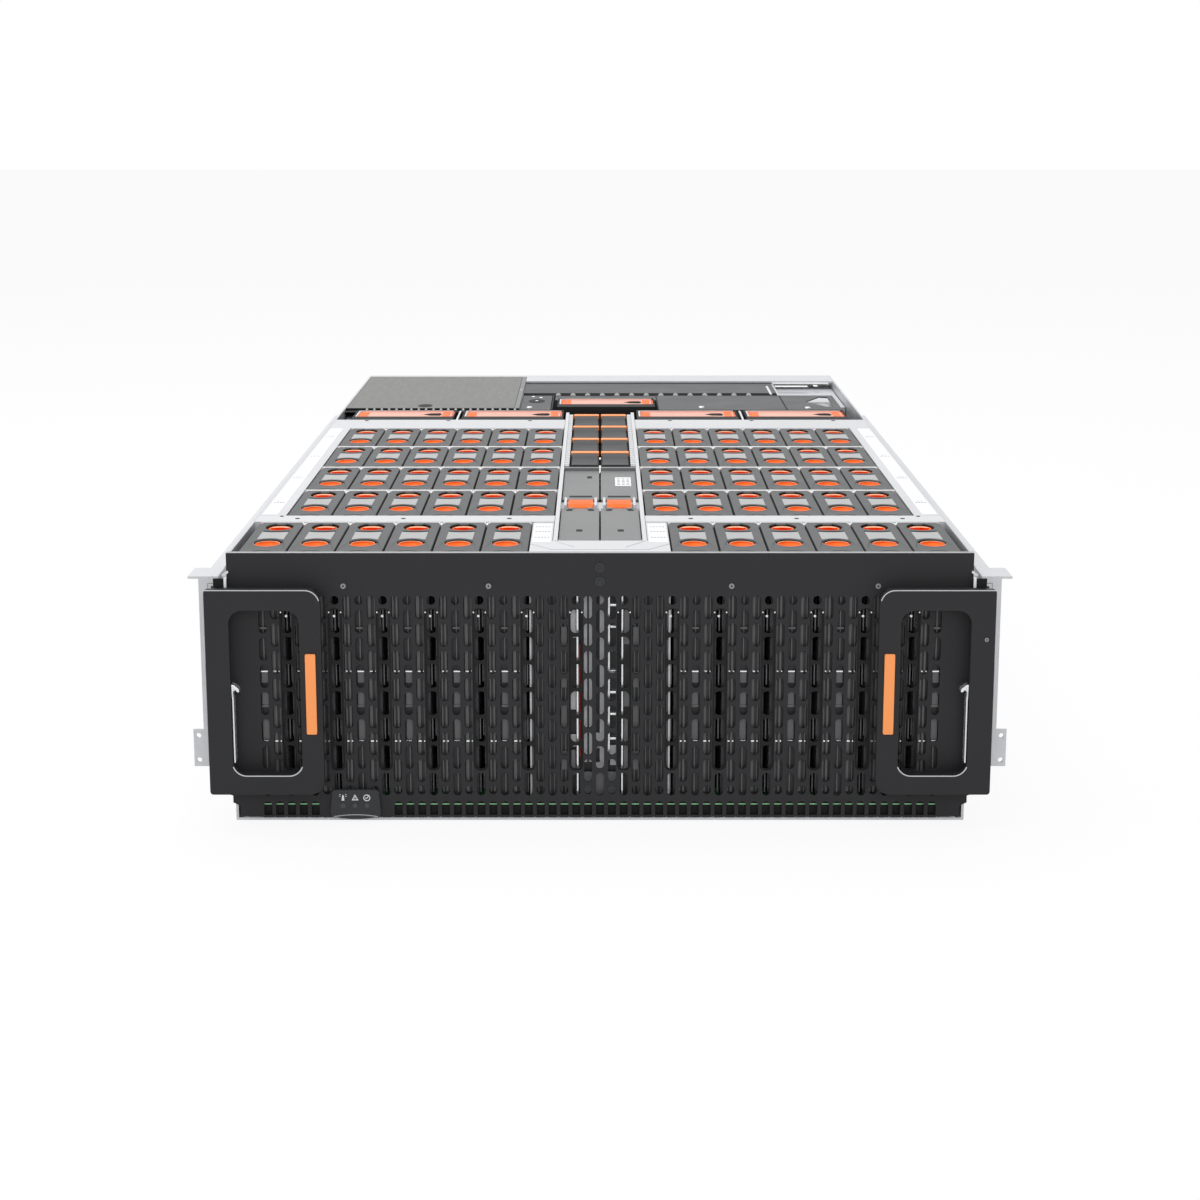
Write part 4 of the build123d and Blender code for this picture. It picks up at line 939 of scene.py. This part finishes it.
for index, x in enumerate((-171.0, -76.0, 76.0, 171.0)):
    fan_top(x, 597, "front_fans", f"fan_{index + 1}", "fan_handles" if index == 0 else None)
fan_top(5.5, 679, "rear_fan", "fan_5", "rear_fan_handle")
paint("fan_housings", BLACK_AND_SHADE, 0.4)
paint("rear_fan_housing", BLACK_AND_SHADE, 0.4)
for name in ("fan_rotor_1", "fan_rotor_2", "fan_rotor_3", "fan_rotor_4", "rear_fan_rotor"):
    paint(name, ROTOR, 0.4)

# Rear deck

cover = Shape()
cover.box((-226.4, -76.6), COVER_SPAN, (168.6, 170.95), 0.4)
cover.finish("cover_left", COVER, "chassis", "rear_cover", "module_steel")
cover = Shape()
cover.box((-76.4, -72.2), COVER_SPAN, (168.6, 170.9), 0.3)
cover.finish("cover_side_strip", MODULE, "chassis")
under = Shape()
under.box((-226.4, -72.2), (658.4, 670.4), (168.4, 168.9), 0.1)
under.box((-226.4, -72.2), (669.9, 670.6), (168.4, 170.8), 0.1)
under.put(plate(ellipse((-157, 686), (13, 20), 20), [], 0.2, 0.0), level(0, 0, 170.98))
under.finish("cover_front_lip", BLACK_AND_SHADE, "chassis")
dots = Shape()
for i in range(21):
    dots.tube((-207.9 + i * 6.6, 169.75), 1.1, (669.3, 669.95), 12)
dots.tube((-74.6, 800), 1.2, (170.85, 171.0), 12, "Z")
dots.finish("cover_edge_dots", BRIGHT_WHITE, "chassis")
baffles = Shape()
baffles.box((52.6, 166.9), BAFFLE_SPAN, (168.0, 169.1), 0.4)
baffles.box((-71.6, -44.4), BAFFLE_SPAN, (168.0, 169.1), 0.4)
window = [(188, 728), (204, 764), (211.5, 760), (210, 690), (204.5, 694)]
baffles.put(plate(rounded((192.4, 722), (49.0, 99.6), 1.2), [window], 1.1, 0.3), level(0, 0, 168.55))
baffles.box((-41.3, 52.4), (741.0, 771.9), (167.9, 168.9), 0.3)
for xs in ((52.6, 166.9), (168.0, 216.8), (-71.6, -44.4)):
    baffles.box(xs, (672.1, 673.8), (148.4, 168.4), 0.2)
baffles.finish("baffle_shapes", BAFFLE, "chassis", "baffles", "black_coat")
# Dark seams between the baffles and a dark oval, and a near-black strip in front of the rear flange that is a
# painted shadow under the flange.
dark = Shape()
dark.put(plate(ellipse((-58, 732), (15, 26), 20), [], 0.2, 0.0), level(0, 0, 169.15))
for x in (-43.2, 52.3, 167.4):
    dark.box((x - 0.6, x + 0.6), (672.5, 771.5), (168.0, 169.25), 0.05)
dark.box((-71.6, 216.8), (770.4, 771.9), (168.6, 169.15), 0.05)
dark.box((-71.0, 165.8), (864.5, 868.0), (169.05, 169.5), 0.05)
dark.finish("baffle_seams_and_shadow", BLACK_AND_SHADE, "chassis")
through = Shape()
through.box((186, 213), (686, 768), (160.0, 161.0), 0.1)
through.box((168.4, 200), (838, 846), (168.8, 169.3), 0.1)
through.box((206, 210), (842, 852), (168.8, 169.3), 0.1)
through.finish("white_parts_behind", BRIGHT_WHITE, "chassis")
through = Shape()
through.box((201, 206), (700, 760), (161.0, 161.6), 0.1)
through.finish("green_parts_behind", PALE_GREEN, "chassis")
heads = Shape()
for x, y, z in ((91.4, 689.5, 169.1), (186.6, 685.6, 169.1), (-63.5, 688, 169.1)):
    heads.tube((x, y), 2.9, (z - 0.4, z + 0.9), 16, "Z", 2.0)
for x, y in ((-58, 734), (-62, 764), (-54.7, 758)):
    heads.tube((x, y), 1.7, (169.1, 169.4), 12, "Z", 1.4)
for side in (-1, 1):
    heads.box(sorted((side * 122.6, side * 124.4)), (600, 656), (168.2, 170.4), 0.3)
heads.box((159.4, 161.6), (780, 842), (168.4, 169.4), 0.1)
heads.finish("rear_screw_heads", BRIGHT, "chassis")
# White discs in the vent holes stand for the light seen through them: painted light.
hole_light_discs = Shape()
for i in range(14):
    hole_light_discs.tube((-39.2 + i * 13.79, 166.7), 2.5, (789.3, 789.95), 18)
hole_light_discs.finish("vent_hole_light", BRIGHT_WHITE, "chassis")

# Floor, light and camera


def area_light(name, power, size, spot, aim):
    lamp = bpy.data.lights.new(name, "AREA")
    lamp.energy = power
    lamp.shape = "RECTANGLE"
    lamp.size, lamp.size_y = size
    holder = bpy.data.objects.new(name, lamp)
    holder.location = spot
    direction = Vector(aim) - Vector(spot)
    holder.rotation_euler = direction.to_track_quat("-Z", "Y").to_euler()
    bpy.context.scene.collection.objects.link(holder)


floor_mesh = bmesh.new()
bmesh.ops.create_grid(floor_mesh, x_segments=1, y_segments=1, size=12.0)
floor_data = bpy.data.meshes.new("floor")
floor_mesh.to_mesh(floor_data)
floor_mesh.free()
floor = bpy.data.objects.new("floor", floor_data)
floor.location = (0, 0, -0.0005)
paper = surface("floor_paper", (0.92, 0.92, 0.92, 1), 0.8, 0.0, 60, 0.0, 0.01)
floor_data.materials.append(paper)
bpy.context.scene.collection.objects.link(floor)
floor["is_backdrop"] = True


def seen_rays(tree):
    """One for camera, glossy and transmission rays, nought for the others."""
    path = tree.nodes.new("ShaderNodeLightPath")
    total = path.outputs["Is Camera Ray"]
    for name in ("Is Glossy Ray", "Is Transmission Ray"):
        added = tree.nodes.new("ShaderNodeMath")
        added.operation = "ADD"
        added.use_clamp = True
        tree.links.new(total, added.inputs[0])
        tree.links.new(path.outputs[name], added.inputs[1])
        total = added.outputs["Value"]
    return total


tree = paper.node_tree
white = tree.nodes.new("ShaderNodeEmission")
white.inputs["Color"].default_value = (1, 1, 1, 1)
white.inputs["Strength"].default_value = 1.0
share = tree.nodes.new("ShaderNodeMath")
share.operation = "MULTIPLY"
share.inputs[1].default_value = FLOOR_WHITE
tree.links.new(seen_rays(tree), share.inputs[0])
mix = tree.nodes.new("ShaderNodeMixShader")
tree.links.new(share.outputs["Value"], mix.inputs["Fac"])
tree.links.new(tree.nodes["Principled BSDF"].outputs["BSDF"], mix.inputs[1])
tree.links.new(white.outputs["Emission"], mix.inputs[2])
tree.links.new(mix.outputs["Shader"], tree.nodes["Material Output"].inputs["Surface"])

world = bpy.data.worlds.new("studio")
bpy.context.scene.world = world
world.use_nodes = True
tree = world.node_tree
background = tree.nodes["Background"]
background.inputs["Color"].default_value = (1, 1, 1, 1)
background.inputs["Strength"].default_value = 0.55
seen = tree.nodes.new("ShaderNodeBackground")
seen.inputs["Color"].default_value = (1, 1, 1, 1)
seen.inputs["Strength"].default_value = 1.0
mix = tree.nodes.new("ShaderNodeMixShader")
tree.links.new(seen_rays(tree), mix.inputs["Fac"])
tree.links.new(background.outputs["Background"], mix.inputs[1])
tree.links.new(seen.outputs["Background"], mix.inputs[2])
tree.links.new(mix.outputs["Shader"], tree.nodes["World Output"].inputs["Surface"])

area_light("key", 42, (2.4, 2.4), (-0.4, 0.3, 2.4), (0, 0, 0.1))
area_light("fill_front", 14, (2.0, 1.2), (0.3, -2.8, 1.2), (0, -0.4, 0.1))
area_light("fill_left", 10, (1.2, 1.2), (-2.4, -0.8, 1.0), (0, 0, 0.1))

CAMERA_BACK = 1.4001
CAMERA_HEIGHT = 0.4470
CAMERA_TILT = 0.21465
SENSOR = 36
CAMERA_LENS = 2333.2 / 1200 * SENSOR
camera_data = bpy.data.cameras.new("camera")
camera_data.sensor_width = SENSOR
camera_data.lens = CAMERA_LENS
camera = bpy.data.objects.new("camera", camera_data)
camera.location = (0, FRONT / 1000 - CAMERA_BACK, CAMERA_HEIGHT)
camera.rotation_euler = (math.radians(90) - CAMERA_TILT, 0, 0)
bpy.context.scene.collection.objects.link(camera)
bpy.context.scene.camera = camera
bpy.context.scene.view_settings.view_transform = "Standard"

low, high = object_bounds()
